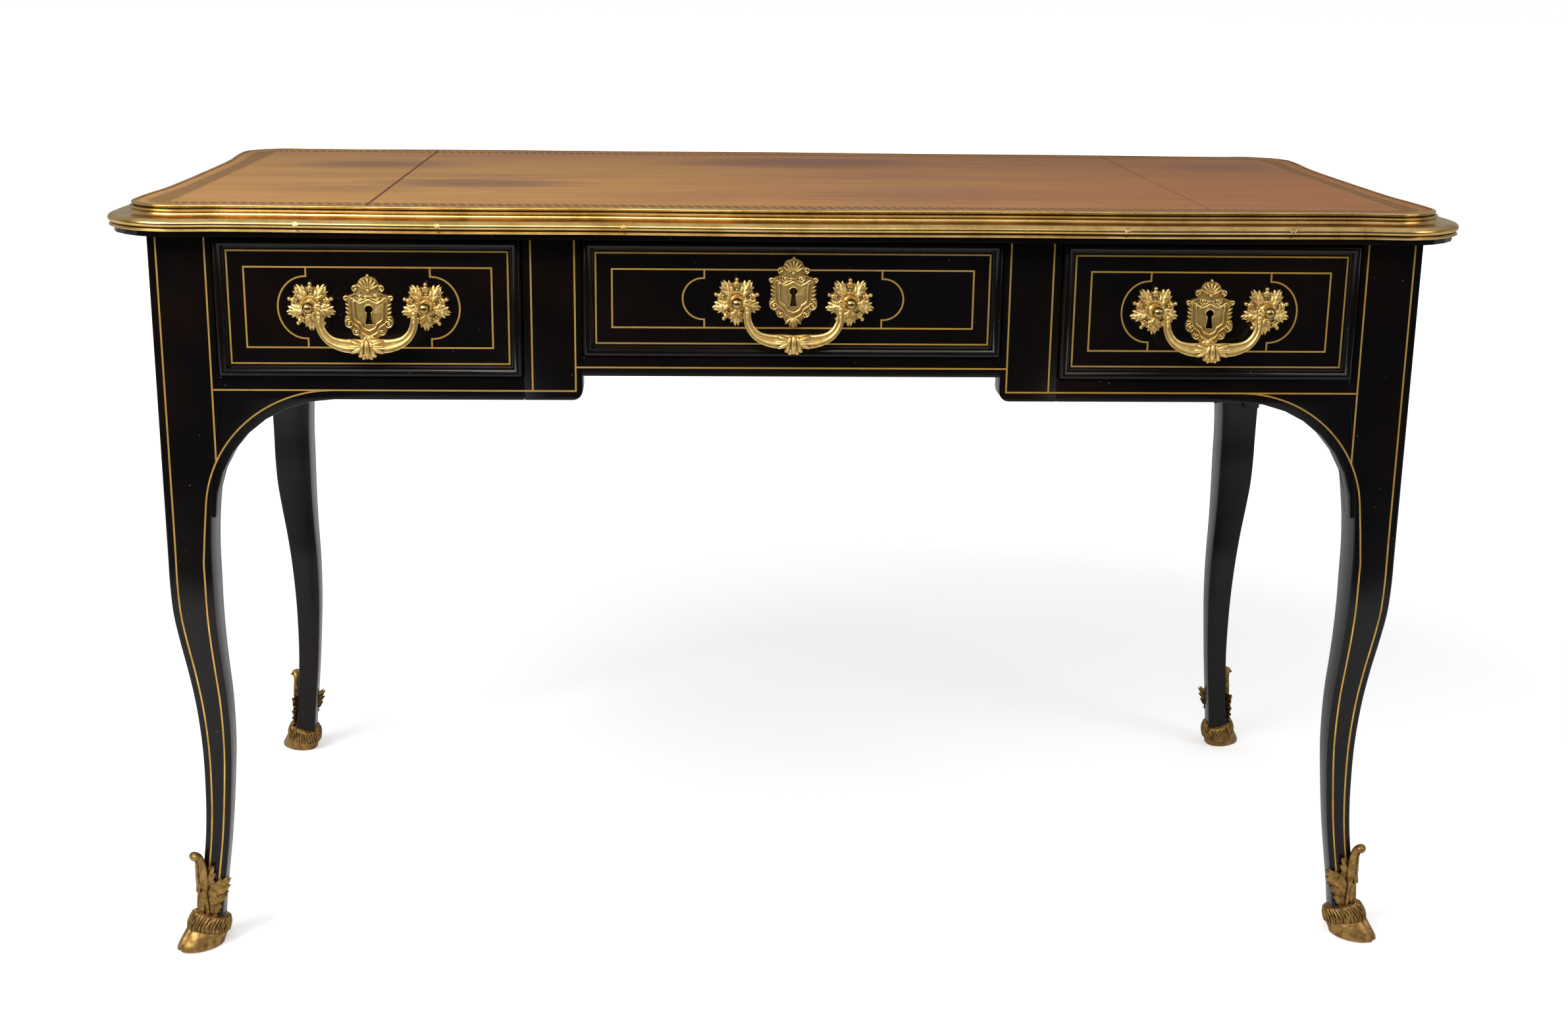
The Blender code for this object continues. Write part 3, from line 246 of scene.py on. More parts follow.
def leather_tone(material):
    """Colour of the skins from long streaks, stains, a slow drift from yellow at the left to red, and a darker,
    more purple tone towards the back.
    """
    place = add(material, "TexCoord").outputs["Object"]
    stretched = add(material, "Mapping", {
        "Vector": place, "Scale": (per_mm(STREAK_MM[0]), per_mm(STREAK_MM[1]), 1.0)}).outputs[0]
    streak = add(material, "TexNoise", {"Vector": stretched, "Scale": 1.0, "Detail": 6.0}).outputs[0]
    streak = add(material, "MapRange", {"Value": streak, "From Min": 0.3, "From Max": 0.7}).outputs[0]
    yellow = add(material, "Mix", {0: streak, 6: linear("b1824c"), 7: linear("be9059")}, data_type="RGBA")
    red = add(material, "Mix", {0: streak, 6: linear("98663f"), 7: linear("aa764f")}, data_type="RGBA")
    x = add(material, "SeparateXYZ", {"Vector": place}).outputs["X"]
    drift = add(material, "MapRange", {"Value": x, "From Min": -0.35, "From Max": 0.45}).outputs[0]
    skin = add(material, "Mix", {0: drift, 6: yellow.outputs[2], 7: red.outputs[2]}, data_type="RGBA").outputs[2]
    wide = add(material, "Mapping", {
        "Vector": place, "Location": (3.1, 0.4, 0.0),
        "Scale": (per_mm(STAIN_MM[0]), per_mm(STAIN_MM[1]), 1.0)}).outputs[0]
    stain = add(material, "TexNoise", {"Vector": wide, "Scale": 1.0, "Detail": 5.0, "Roughness": 0.55}).outputs[0]
    cloud = add(material, "MapRange",
                {"Value": stain, "From Min": 0.50, "From Max": 0.80, "To Max": 0.5}).outputs[0]
    ragged = add(material, "Math", {0: stain, 1: streak}, operation="ADD").outputs[0]
    for x, y, half_x, half_y, strength in STAINS:
        spot = add(material, "Mapping", {
            "Vector": place, "Location": (-x / half_x, -y / half_y, 0.0),
            "Scale": (1 / half_x, 1 / half_y, 0.0)}).outputs[0]
        reach = add(material, "VectorMath", {0: spot}, operation="LENGTH").outputs["Value"]
        reach = add(material, "Math", {0: ragged, 1: 0.45, 2: reach}, operation="MULTIPLY_ADD").outputs[0]
        fade = {"Value": reach, "From Min": 1.5, "From Max": 0.7, "To Max": 0.75 * strength}
        damp = add(material, "MapRange", fade, interpolation_type="SMOOTHSTEP").outputs[0]
        cloud = add(material, "Math", {0: cloud, 1: damp}, operation="MAXIMUM").outputs[0]
    y = add(material, "SeparateXYZ", {"Vector": place}).outputs["Y"]
    # The skins are painted darker and more purple towards the back.
    back_darkening = add(material, "MapRange", {"Value": y, "From Min": -0.05, "From Max": 0.33, "To Max": 0.5}).outputs[0]
    toned_to_back = add(material, "Mix", {0: back_darkening, 6: skin, 7: linear("7d5c49")}, data_type="RGBA").outputs[2]
    return place, add(material, "Mix", {0: cloud, 6: toned_to_back, 7: linear("76554c")}, data_type="RGBA").outputs[2]


def leather_surface(material, place):
    pores = add(material, "TexVoronoi", {"Vector": place, "Scale": per_mm(PORE_MM)}).outputs["Distance"]
    creases = add(material, "TexNoise", {"Vector": place, "Scale": per_mm(6.0), "Detail": 5.0}).outputs[0]
    height = add(material, "Math", {0: pores, 1: creases}, operation="ADD").outputs[0]
    bump = add(material, "Bump", {"Height": height, "Strength": 0.25, "Distance": 0.25 * MM}).outputs[0]
    gloss = add(material, "MapRange", {"Value": creases, "To Min": 0.60, "To Max": 0.80}).outputs[0]
    return {"Roughness": gloss, "Normal": bump}


def plain_leather_feeds(material):
    place, tone = leather_tone(material)
    return {"Base Color": tone, **leather_surface(material, place)}


def tooled_feeds(material):
    place, tone = leather_tone(material)
    uv = add(material, "SeparateXYZ", {"Vector": add(material, "UVMap").outputs[0]})
    along, over = uv.outputs["X"], uv.outputs["Y"]
    dark = add(material, "Mix", {0: 0.62, 6: tone, 7: linear("5d3d28")}, data_type="RGBA").outputs[2]
    # Leaves that lean along the band: a wave in U whose phase runs with V, broken by noise
    turn = 2 * math.pi / (TOOL_REPEAT_MM * MM)
    phase = add(material, "Math", {0: along, 1: turn}, operation="MULTIPLY").outputs[0]
    lean = add(material, "Math", {0: over, 1: 4.6}, operation="MULTIPLY").outputs[0]
    ragged = add(material, "TexNoise", {"Vector": place, "Scale": per_mm(4.0), "Detail": 3.0}).outputs[0]
    ragged = add(material, "Math", {0: ragged, 1: 3.4}, operation="MULTIPLY").outputs[0]
    swing = add(material, "Math", {0: lean, 1: ragged}, operation="ADD").outputs[0]
    leaf = add(material, "Math", {0: phase, 1: swing}, operation="ADD").outputs[0]
    leaf = add(material, "Math", {0: leaf}, operation="SINE").outputs[0]
    leaf = add(material, "MapRange", {"Value": leaf, "From Min": 0.25, "From Max": 0.95, "To Max": 0.6}).outputs[0]
    pressed = add(material, "Mix", {0: leaf, 6: dark, 7: linear("b58d58")}, data_type="RGBA").outputs[2]
    # Two gold fillets, a little inside the band's two sides
    centre = add(material, "Math", {0: over, 1: 0.5}, operation="SUBTRACT").outputs[0]
    centre = add(material, "Math", {0: centre}, operation="ABSOLUTE").outputs[0]
    line = add(material, "Math", {0: centre, 1: 0.44, 2: 0.025}, operation="COMPARE").outputs[0]
    line = add(material, "Math", {0: line, 1: 0.7}, operation="MULTIPLY").outputs[0]
    colour = add(material, "Mix", {0: line, 6: pressed, 7: linear("c8a061")}, data_type="RGBA").outputs[2]
    return {"Base Color": colour, **leather_surface(material, place)}


tan_calf = start_material("pasted_tan_calf", plain_leather_feeds, Specular_IOR_Level=0.12)
tooled_calf = start_material("tooled_tan_calf", tooled_feeds, Specular_IOR_Level=0.12)
seam_calf = start_material("dark_calf_strip", lambda material: {}, Base_Color=linear("6e4227"), Roughness=0.7)

# %% [markdown]
# ## Drawer oak
# The drawers are lined with quarter-sawn oak, waxed and dusty. Grain runs along the boards: a noise that
# is stretched along Y for the sides and the bottoms, in two browns, with the dark pores as fine streaks.

# %% Oak
RING_MM = 7.0
PORE_STREAK_MM = 0.9


def oak_feeds(material):
    place = add(material, "TexCoord").outputs["Object"]
    boards = add(material, "Mapping", {"Vector": place, "Scale": (1.0, 0.05, 1.0)}).outputs[0]
    rings = add(material, "TexNoise", {"Vector": boards, "Scale": per_mm(RING_MM), "Detail": 6.0}).outputs[0]
    rings = add(material, "MapRange", {"Value": rings, "From Min": 0.3, "From Max": 0.7}).outputs[0]
    wood = add(material, "Mix", {0: rings, 6: linear("8b683f"), 7: linear("b08d5e")}, data_type="RGBA").outputs[2]
    pores = add(material, "TexNoise",
                {"Vector": boards, "Scale": per_mm(PORE_STREAK_MM), "Detail": 2.0}).outputs[0]
    pore = add(material, "MapRange", {"Value": pores, "From Min": 0.58, "From Max": 0.75, "To Max": 0.6}).outputs[0]
    colour = add(material, "Mix", {0: pore, 6: wood, 7: linear("553c22")}, data_type="RGBA").outputs[2]
    bump = add(material, "Bump", {"Height": pores, "Strength": 0.2, "Distance": 0.2 * MM}).outputs[0]
    return {"Base Color": colour, "Normal": bump}


drawer_oak = start_material("waxed_quarter_sawn_oak", oak_feeds, Roughness=0.55)

# %% [markdown]
# ## Tools for pieces
# A piece starts as a bmesh and ends as an object that rides on a body of the frame. Three operators do
# most of the work here: extrude, which draws a section through a row of stations, spin, which turns a
# profile round an axis, and bevel, which sands an edge.

# %% Piece tools
def show(name, bm, body, slot, *materials, replaces=(), smooth=35):
    """Turn a finished bmesh into a piece that rides on a body of the frame."""
    mesh = bpy.data.meshes.new(name)
    bm.to_mesh(mesh)
    bm.free()
    for material in materials:
        mesh.materials.append(material)
    mesh.shade_smooth()
    mesh.set_sharp_from_angle(angle=math.radians(smooth))
    piece = bpy.data.objects.new(name, mesh)
    bpy.context.scene.collection.objects.link(piece)
    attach(piece, body)
    if replaces:
        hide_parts(*replaces)
    return piece


def join(target, part, place=None):
    """Add a finished bmesh to another one, moved into place, with its faces turned outwards."""
    if place is not None:
        bmesh.ops.transform(part, matrix=place, verts=part.verts)
    bmesh.ops.recalc_face_normals(part, faces=part.faces)
    carrier = bpy.data.meshes.new("carrier")
    part.to_mesh(carrier)
    part.free()
    target.from_mesh(carrier)
    bpy.data.meshes.remove(carrier)


def smooth_path(points, steps, closed=False):
    """A smooth line through points, as Bezier pieces whose handles follow the neighbours."""
    points = [Vector(p) for p in points]
    count = len(points)

    def heading(i):
        if closed:
            return (points[(i + 1) % count] - points[i - 1]).normalized()
        return (points[min(i + 1, count - 1)] - points[max(i - 1, 0)]).normalized()

    line = []
    for i in range(count if closed else count - 1):
        a, b = points[i], points[(i + 1) % count]
        third = (b - a).length / 3
        line += interpolate_bezier(a, a + heading(i) * third, b - heading((i + 1) % count) * third, b,
                                   steps + 1)[:-1]
    return line if closed else line + [points[-1]]


def sweep(section, stations, ring=False):
    """Extrude a closed section of (u, v) points through a row of matrices; close the ends or join them."""
    bm = bmesh.new()
    verts = [bm.verts.new(stations[0] @ Vector((u, v, 0))) for u, v in section]
    edges = first = [bm.edges.new(pair) for pair in zip(verts, verts[1:] + verts[:1])]
    for before, after in zip(stations, stations[1:]):
        grown = bmesh.ops.extrude_edge_only(bm, edges=edges)["geom"]
        fresh = {g for g in grown if isinstance(g, bmesh.types.BMVert)}
        edges = [g for g in grown if isinstance(g, bmesh.types.BMEdge) and set(g.verts) <= fresh]
        bmesh.ops.transform(bm, matrix=after @ before.inverted(), verts=list(fresh))
    if ring:
        bmesh.ops.bridge_loops(bm, edges=first + edges)
    else:
        bmesh.ops.edgeloop_fill(bm, edges=first)
        bmesh.ops.edgeloop_fill(bm, edges=edges)
    bmesh.ops.recalc_face_normals(bm, faces=bm.faces)
    return bm


def turned(profile, steps):
    """Spin a profile of (radius, height) points round Z."""
    bm = bmesh.new()
    verts = [bm.verts.new((radius, 0, height)) for radius, height in profile]
    edges = [bm.edges.new(pair) for pair in zip(verts, verts[1:])]
    bmesh.ops.spin(bm, geom=verts + edges, axis=(0, 0, 1), cent=(0, 0, 0), angle=2 * math.pi,
                   steps=steps, use_merge=True)
    bmesh.ops.remove_doubles(bm, verts=bm.verts, dist=0.01 * MM)
    bmesh.ops.recalc_face_normals(bm, faces=bm.faces)
    return bm


def pebble(place, radii, turn=0.0, tilt=0.0):
    """A rounded lump of cast metal: an icosphere stretched to three radii, turned and tilted, in place."""
    bm = bmesh.new()
    bmesh.ops.create_icosphere(bm, subdivisions=3, radius=1.0)
    shape = Matrix.Translation(place) @ Matrix.Rotation(turn, 4, "Z") @ Matrix.Rotation(tilt, 4, "X")
    bmesh.ops.transform(bm, matrix=shape @ Matrix.Diagonal((*radii, 1.0)), verts=bm.verts)
    return bm


def round_section(sides, flutes=0, depth=0.0):
    """A unit circle as a section, with its edge drawn in by flutes."""
    turns = [2 * math.pi * i / sides for i in range(sides)]
    return [(math.cos(t) * (1 + depth * math.cos(flutes * t)), math.sin(t) * (1 + depth * math.cos(flutes * t)))
            for t in turns]


def tube_stations(points, radii, out):
    """Stations along a line that lies in a plane with normal out; radii are (in the plane, along out)."""
    stations = []
    for i, (point, (wide, deep)) in enumerate(zip(points, radii)):
        along = (points[min(i + 1, len(points) - 1)] - points[max(i - 1, 0)]).normalized()
        side = out.cross(along).normalized()
        turn = Matrix((side * wide, out * deep, along)).transposed().to_4x4()
        stations.append(Matrix.Translation(point) @ turn)
    return stations


def node_copy(name):
    """A CAD node's mesh as a bmesh, with its loose triangles merged and flat faces made whole."""
    bm = bmesh.new()
    bm.from_mesh(frame["nodes"][name].data)
    bmesh.ops.remove_doubles(bm, verts=bm.verts, dist=0.01 * MM)
    bmesh.ops.dissolve_limit(bm, angle_limit=math.radians(0.5), verts=bm.verts, edges=bm.edges)
    return bm


# %% [markdown]
# ## Sanded woodwork
# Polished black wood shows its shape only by the light along its edges, and a CAD edge is too sharp to
# catch any. So each wooden piece is shown by a copy whose edges are rounded by about half a millimetre,
# the way a scraper and sandpaper leave them. Only long edges are rounded: the ends of keyholes and screw
# holes lie under the mounts.

# %% Frieze and drawer fronts
EDGE_ROUND = 0.7 * MM
SHORTEST_SANDED = 7 * MM


def sanded(name, body):
    bm = node_copy(name)
    edges = [e for e in bm.edges if len(e.link_faces) == 2 and e.calc_length() > SHORTEST_SANDED
             and e.calc_face_angle(0.0) > math.radians(20)]
    bmesh.ops.bevel(bm, geom=edges, offset=EDGE_ROUND, offset_type="OFFSET", affect="EDGES", segments=2,
                    profile=0.5, material=-1, clamp_overlap=True)
    return show(name + "_sanded", bm, body, "ebonised_wood", ebonised_wood, replaces=[name], smooth=32)


BOARDS = ["rail_centre", "back_panel"] + [
    board + "_" + side for board in ("post", "apron", "side_panel", "partition") for side, _ in SIDES]
for board in BOARDS:
    sanded(board, "desk")
for drawer in DRAWERS:
    sanded("drawer_" + drawer + "_front", "drawer_" + drawer)
print("sanded boards:", len(BOARDS) + len(DRAWERS))

# %% [markdown]
# ## Cabriole legs
# Each leg is sawn from one square post: the saw follows the same S curve on two faces, and a spokeshave
# makes it smooth. The CAD leg is a row of flat facets along that curve, so its levels are read from the
# frame, a smooth line is drawn through them, a square is extruded along the line, and the four long edges
# are rounded. One leg is made and mirrored to the other corners.

# %% Legs
LEG_EDGE_ROUND = 1.7 * MM
LEG_STEPS = 5

leg_low, leg_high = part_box("leg_front_right")
CORNER = Vector((leg_high.x, leg_low.y, 0))
levels = {}
for vert in frame["nodes"]["leg_front_right"].data.vertices:
    levels.setdefault(round(vert.co.z, 4), []).append(vert.co.x)
leg_rows = [Vector((max(xs), min(xs), z)) for z, xs in sorted(levels.items())]
leg_line = smooth_path(leg_rows[:-1], LEG_STEPS) + [leg_rows[-1]]
CORNERS = [(end, side, sx, sy) for end, sy in (("front", 1), ("rear", -1)) for side, sx in SIDES]


def leg_row(z):
    """Outer and inner face of the leg at a height, measured inwards from the corner of the frame."""
    for low, high in zip(leg_line, leg_line[1:]):
        if low.z <= z <= high.z:
            row = low.lerp(high, (z - low.z) / (high.z - low.z))
            return CORNER.x - row.x, CORNER.x - row.y
    return CORNER.x - leg_line[0].x, CORNER.x - leg_line[0].y


def at_corner(a, b, z):
    """A place near the front right corner: a from its side face, b from its front face."""
    return Vector((CORNER.x - a, CORNER.y + b, z))


def mirrored(bm, sx, sy):
    """A copy of a front right piece for another corner."""
    twin = bm.copy()
    bmesh.ops.transform(twin, matrix=Matrix.Diagonal((sx, sy, 1, 1)), verts=twin.verts)
    bmesh.ops.recalc_face_normals(twin, faces=twin.faces)
    return twin


stations = []
for row in leg_line:
    outer, inner = CORNER.x - row.x, CORNER.x - row.y
    middle = at_corner((outer + inner) / 2, (outer + inner) / 2, row.z)
    stations.append(Matrix.Translation(middle) @ Matrix.Scale((inner - outer) / 2, 4))
leg = sweep([(-1, -1), (1, -1), (1, 1), (-1, 1)], stations)
long_edges = [e for e in leg.edges if abs(e.verts[0].co.z - e.verts[1].co.z) > MM]
bmesh.ops.bevel(leg, geom=long_edges, offset=LEG_EDGE_ROUND, offset_type="OFFSET", affect="EDGES", segments=3,
                profile=0.5, material=-1, clamp_overlap=True)
for end, side, sx, sy in CORNERS:
    corner = end + "_" + side
    show("cabriole_leg_" + corner, mirrored(leg, sx, sy), "desk", "ebonised_wood", ebonised_wood,
         replaces=["leg_" + corner], smooth=50)
leg.free()
print("legs: thinnest", round(min(r.x - r.y for r in leg_rows) / MM, 1), "mm")

# %% [markdown]
# ## The line of the top
# Leather, brass and board all follow one wavy line. It is read from the frame as the outline of the three
# skins together, and drawn smooth again.

# %% Outline of the top
OUTLINE_STEPS = 12
OUTLINE_SPACING = 1.6 * MM
SEAM_X = 0.405

skins = bmesh.new()
for skin in DRAWERS:
    skins.from_mesh(frame["nodes"]["leather_" + skin].data)
bmesh.ops.delete(skins, geom=[f for f in skins.faces if f.normal.z < 0.9], context="FACES")
bmesh.ops.remove_doubles(skins, verts=skins.verts, dist=0.5 * MM)
bmesh.ops.dissolve_faces(skins, faces=skins.faces)
corners = [v.co.copy() for v in skins.faces[:][0].verts if abs(abs(v.co.x) - SEAM_X) > MM]
skins.free()
outline = []
for point in smooth_path(corners, OUTLINE_STEPS, closed=True):
    if not outline or (point - outline[-1]).length > OUTLINE_SPACING:
        outline.append(point)
LEATHER_Z = outline[0].z
ways = [(outline[(i + 1) % len(outline)] - outline[i - 1]).normalized() for i in range(len(outline))]
outward = [Vector((way.y, -way.x, 0)) for way in ways]
print("outline of the leather:", len(corners), "corners,", len(outline), "points")

# %% [markdown]
# ## Brass edge
# The moulding is cast in four lengths, filed and screwed to the board, and the short lengths turn both
# corners. Its section, from the leather outwards and down: a rolled lip, a bead, a hollow, a large torus
# and a flat fillet. The section is drawn once and extruded along the line of the top. Plugs of brass hide
# the screws.

# %% Brass edge
BRASS_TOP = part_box("brass_edge_front")[1].z
JOINT_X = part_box("brass_edge_front")[1].x
JOINT_GAP = 0.25 * MM
TORUS = (19.4, -15.8, 7.4, 4.7)
PLUG = [(0, 0.25), (1.7, 0.25), (1.9, -0.2), (2.2, -0.2), (2.3, 0.3), (2.7, 0.2), (2.7, -1.5), (0, -1.5)]
PLUG_X = (-0.463, -0.333, -0.159, 0.314, 0.472)
PLUG_TURN = 18


def arc(u, v, ru, rv, start, end, steps):
    """Points on an ellipse, in millimetres, from one angle to another in degrees."""
    turns = [math.radians(start + (end - start) * i / steps) for i in range(steps + 1)]
    return [(u + ru * math.cos(t), v + rv * math.sin(t)) for t in turns]


edge_section = [(0.1, -22.5), (0.1, 0.0)] + arc(2.5, -1.7, 1.8, 1.7, 90, -80, 7)
edge_section += [(2.3, -3.6), (2.3, -4.2)] + arc(4.2, -5.7, 2.2, 1.6, 130, -80, 7)
edge_section += [(4.9, -7.6)] + arc(11.6, -8.2, 6.3, 3.4, 185, 268, 8) + arc(*TORUS, 126, -56, 14)
edge_section += [(24.4, -20.0), (26.0, -21.9), (25.8, -22.5), (21.4, -22.5)]
edge_section = [(u * MM, v * MM) for u, v in edge_section]


def edge_station(i):
    """Place of the section at a point of the outline: outwards, up, along."""
    turn = Matrix((outward[i], Vector((0, 0, 1)), -ways[i])).transposed().to_4x4()
    return Matrix.Translation((outline[i].x, outline[i].y, BRASS_TOP)) @ turn


ring = sweep(edge_section, [edge_station(i) for i in range(len(outline))], ring=True)
LENGTHS = {
    "front": [((JOINT_X, 0, 0), (1, 0, 0)), ((-JOINT_X, 0, 0), (-1, 0, 0)), ((0, 0, 0), (0, 1, 0))],
    "back": [((JOINT_X, 0, 0), (1, 0, 0)), ((-JOINT_X, 0, 0), (-1, 0, 0)), ((0, 0, 0), (0, -1, 0))],
    "left": [((-JOINT_X - JOINT_GAP, 0, 0), (1, 0, 0))],
    "right": [((JOINT_X + JOINT_GAP, 0, 0), (-1, 0, 0))],
}
for name, cuts in LENGTHS.items():
    length = ring.copy()
    for point, away in cuts:
        bmesh.ops.bisect_plane(length, geom=length.verts[:] + length.edges[:] + length.faces[:],
                               plane_co=point, plane_no=away, clear_outer=True)
    bmesh.ops.holes_fill(length, edges=[e for e in length.edges if e.is_boundary])
    bmesh.ops.recalc_face_normals(length, faces=length.faces)
    show("brass_moulding_" + name, length, "desk", "edge_brass", edge_brass,
         replaces=["brass_edge_" + name], smooth=28)
ring.free()

plugs = bmesh.new()
for x in PLUG_X:
    near = min((i for i in range(len(outline)) if outline[i].y < 0), key=lambda i: abs(outline[i].x - x))
    turn = math.radians(PLUG_TURN)
    lean = Vector((math.cos(turn) / TORUS[2], math.sin(turn) / TORUS[3])).normalized()
    spot = Vector((TORUS[0] + TORUS[2] * math.cos(turn), TORUS[1] + TORUS[3] * math.sin(turn), 0)) * MM
    axis = Vector((lean.x, lean.y, 0))
    disc = turned([(r * MM, h * MM) for r, h in PLUG], 24)
    tip = Matrix((Vector((0, 0, 1)), axis.cross(Vector((0, 0, 1))), axis)).transposed().to_4x4()
    join(plugs, disc, edge_station(near) @ Matrix.Translation(spot) @ tip)
show("brass_plugs_front", plugs, "desk", "edge_brass", edge_brass)
print("brass edge:", len(LENGTHS), "lengths")

# %% [markdown]
# ## Leather skins
# Three calf skins cover the board, pared thin where they meet on a strip of dark leather. The outline is
# drawn in twice: first a plain margin that follows the brass, then the band that the roll tool has pressed
# along a straight edge, so its inner side is a rectangle and points past a corner are held at the corner.
# The band gets a UV map in metres along and a share across.

# %% Leather
MARGIN = 9 * MM
BAND = 20 * MM
SKIN = 2 * MM
SEAM_WIDTHS = {-1: 3.0 * MM, 1: 1.6 * MM}
SEAM_DEPTH = 0.7 * MM

inner_x = min(p.x for p in outline if p.x > 0 and abs(p.y) < 0.2) - MARGIN - BAND
inner_y = min(p.y for p in outline if p.y > 0 and abs(p.x) < JOINT_X) - MARGIN - BAND
top = bmesh.new()
uv_layer = top.loops.layers.uv.new("band")
loop = [top.verts.new(p - n * 0.2 * MM) for p, n in zip(outline, outward)]
edges = [top.edges.new(pair) for pair in zip(loop, loop[1:] + loop[:1])]
run = [0.0]
for a, b in zip(outline, outline[1:] + outline[:1]):
    run.append(run[-1] + (b - a).length)
step = {vert: (i, 0.0) for i, vert in enumerate(loop)}
for band in (0, 1):
    source = {tuple(vert.co): step[vert][0] for edge in edges for vert in edge.verts}
    grown = bmesh.ops.extrude_edge_only(top, edges=edges)["geom"]
    fresh = [g for g in grown if isinstance(g, bmesh.types.BMVert)]
    edges = [g for g in grown if isinstance(g, bmesh.types.BMEdge) and set(g.verts) <= set(fresh)]
    for vert in fresh:
        i = source[tuple(vert.co)]
        step[vert] = (i, float(band))
        place = outline[i] - outward[i] * MARGIN
        if band:
            place = Vector((max(-inner_x, min(inner_x, place.x)), max(-inner_y, min(inner_y, place.y)), 0))
        vert.co = (place.x, place.y, LEATHER_Z)
    for edge in edges:
        edge.link_faces[0].material_index = band
for face in top.faces:
    closing = {0, len(outline) - 1} <= {step[corner.vert][0] for corner in face.loops}
    for corner in face.loops:
        i, share = step[corner.vert]
        corner[uv_layer].uv = (run[-1] if closing and i == 0 else run[i], share)
bmesh.ops.remove_doubles(top, verts=fresh, dist=0.02 * MM)
inner_edges = [e for e in top.edges if e.is_boundary and e.link_faces[0].material_index]
bmesh.ops.edgeloop_fill(top, edges=inner_edges)
bmesh.ops.recalc_face_normals(top, faces=top.faces)
SKIN_CUTS = {
    "left": [(-SEAM_X - SEAM_WIDTHS[-1] / 2, 1)],
    "centre": [(-SEAM_X + SEAM_WIDTHS[-1] / 2, -1), (SEAM_X - SEAM_WIDTHS[1] / 2, 1)],
    "right": [(SEAM_X + SEAM_WIDTHS[1] / 2, -1)],
}
for name, cuts in SKIN_CUTS.items():
    skin = top.copy()
    for x, away in cuts:
        bmesh.ops.bisect_plane(skin, geom=skin.verts[:] + skin.edges[:] + skin.faces[:],
                               plane_co=(x, 0, 0), plane_no=(away, 0, 0), clear_outer=True)
    under = bmesh.ops.extrude_face_region(skin, geom=skin.faces[:], use_keep_orig=True)["geom"]
    bmesh.ops.translate(skin, vec=(0, 0, -SKIN), verts=[g for g in under if isinstance(g, bmesh.types.BMVert)])
    bmesh.ops.recalc_face_normals(skin, faces=skin.faces)
    show("calf_skin_" + name, skin, "desk", "leather", tan_calf, tooled_calf, replaces=["leather_" + name])
top.free()
seams = bmesh.new()
for sign, width in SEAM_WIDTHS.items():
    x = sign * SEAM_X
    reach = min(abs(p.y) for p in outline if abs(p.x - x) < 2 * OUTLINE_SPACING) - 0.3 * MM
    strip = bmesh.new()
    bmesh.ops.create_cube(strip, size=1.0)
    thick = SKIN - SEAM_DEPTH
    place = Matrix.Translation((x, 0, LEATHER_Z - SEAM_DEPTH - thick / 2))
    join(seams, strip, place @ Matrix.Diagonal((width, 2 * reach, thick, 1)))
show("seam_strips", seams, "desk", "leather", seam_calf)
print("leather: field", round(2 * inner_x, 3), "x", round(2 * inner_y, 3), "m")

# %% [markdown]
# ## Brass lines
# Thin strips of brass are pressed into grooves cut with a scratch stock, glued and scraped level. They
# frame the drawers, run down the edges of posts and legs, and follow the arches. A strip starts as one
# short edge across the line. It is extruded from point to point, mitred at the turns, and thickened, so
# that it stands a tenth of a millimetre proud, as old inlay does when the wood has shrunk.

# %% Line tool
LINE_WIDTH = 1.55 * MM
LINE_PROUD = 0.12 * MM
LINE_SUNK = 0.5 * MM


def lay_line(bm, points, out, closed=False, proud=LINE_PROUD):
    """Lay one strip along points on a face whose outward direction is out."""
    points = [Vector(p) - Vector(out) * LINE_SUNK for p in points]
    out = Vector(out)
    count = len(points)
    halves = []
    for i, point in enumerate(points):
        ways = [(point - points[i - 1]).normalized()] if closed or i else []
        if closed or i < count - 1:
            ways.append((points[(i + 1) % count] - point).normalized())
        sides = [out.cross(way).normalized() for way in ways]
        mitre = sum(sides, Vector()).normalized()
        halves.append(mitre * LINE_WIDTH / 2 / max(0.5, mitre.dot(sides[0])))
    strip = bmesh.new()
    edge = strip.edges.new([strip.verts.new(points[0] + halves[0]), strip.verts.new(points[0] - halves[0])])
    for i in range(1, count + closed):
        grown = bmesh.ops.extrude_edge_only(strip, edges=[edge])["geom"]
        left = points[i - 1] + halves[i - 1]
        fresh = [g for g in grown if isinstance(g, bmesh.types.BMVert)]
        for vert in fresh:
            sign = 1 if (vert.co - left).length < 0.01 * MM else -1
            vert.co = points[i % count] + halves[i % count] * sign
        edge = next(g for g in grown if isinstance(g, bmesh.types.BMEdge) and set(g.verts) == set(fresh))
    bmesh.ops.remove_doubles(strip, verts=strip.verts, dist=0.005 * MM)
    raised = bmesh.ops.extrude_face_region(strip, geom=strip.faces[:], use_keep_orig=True)["geom"]
    bmesh.ops.translate(strip, vec=out * (LINE_SUNK + proud),
                        verts=[g for g in raised if isinstance(g, bmesh.types.BMVert)])
    join(bm, strip)


def rectangle(x0, x1, z0, z1, inset):
    return [(x0 + inset, z0 + inset), (x1 - inset, z0 + inset), (x1 - inset, z1 - inset), (x0 + inset, z1 - inset)]


# %% [markdown]
# On each drawer the outer line follows the moulding. The inner one is a second rectangle, and round each
# rosette a half circle springs from short ticks on its upper and lower side.

# %% Drawer lines
OUTER_LINE = 12.5 * MM
INNER_LINE = 28.0 * MM
TICK = {"left": 8.7 * MM, "centre": 8.2 * MM, "right": 8.7 * MM}
TICK_X = {"left": 58.7 * MM, "centre": 85.6 * MM, "right": 58.7 * MM}
BULGE_X = {"left": 86.2 * MM, "centre": 106.4 * MM, "right": 86.2 * MM}
JOG = 1.2 * MM
FIELD_Y = CORNER.y
FRONT = Vector((0, -1, 0))


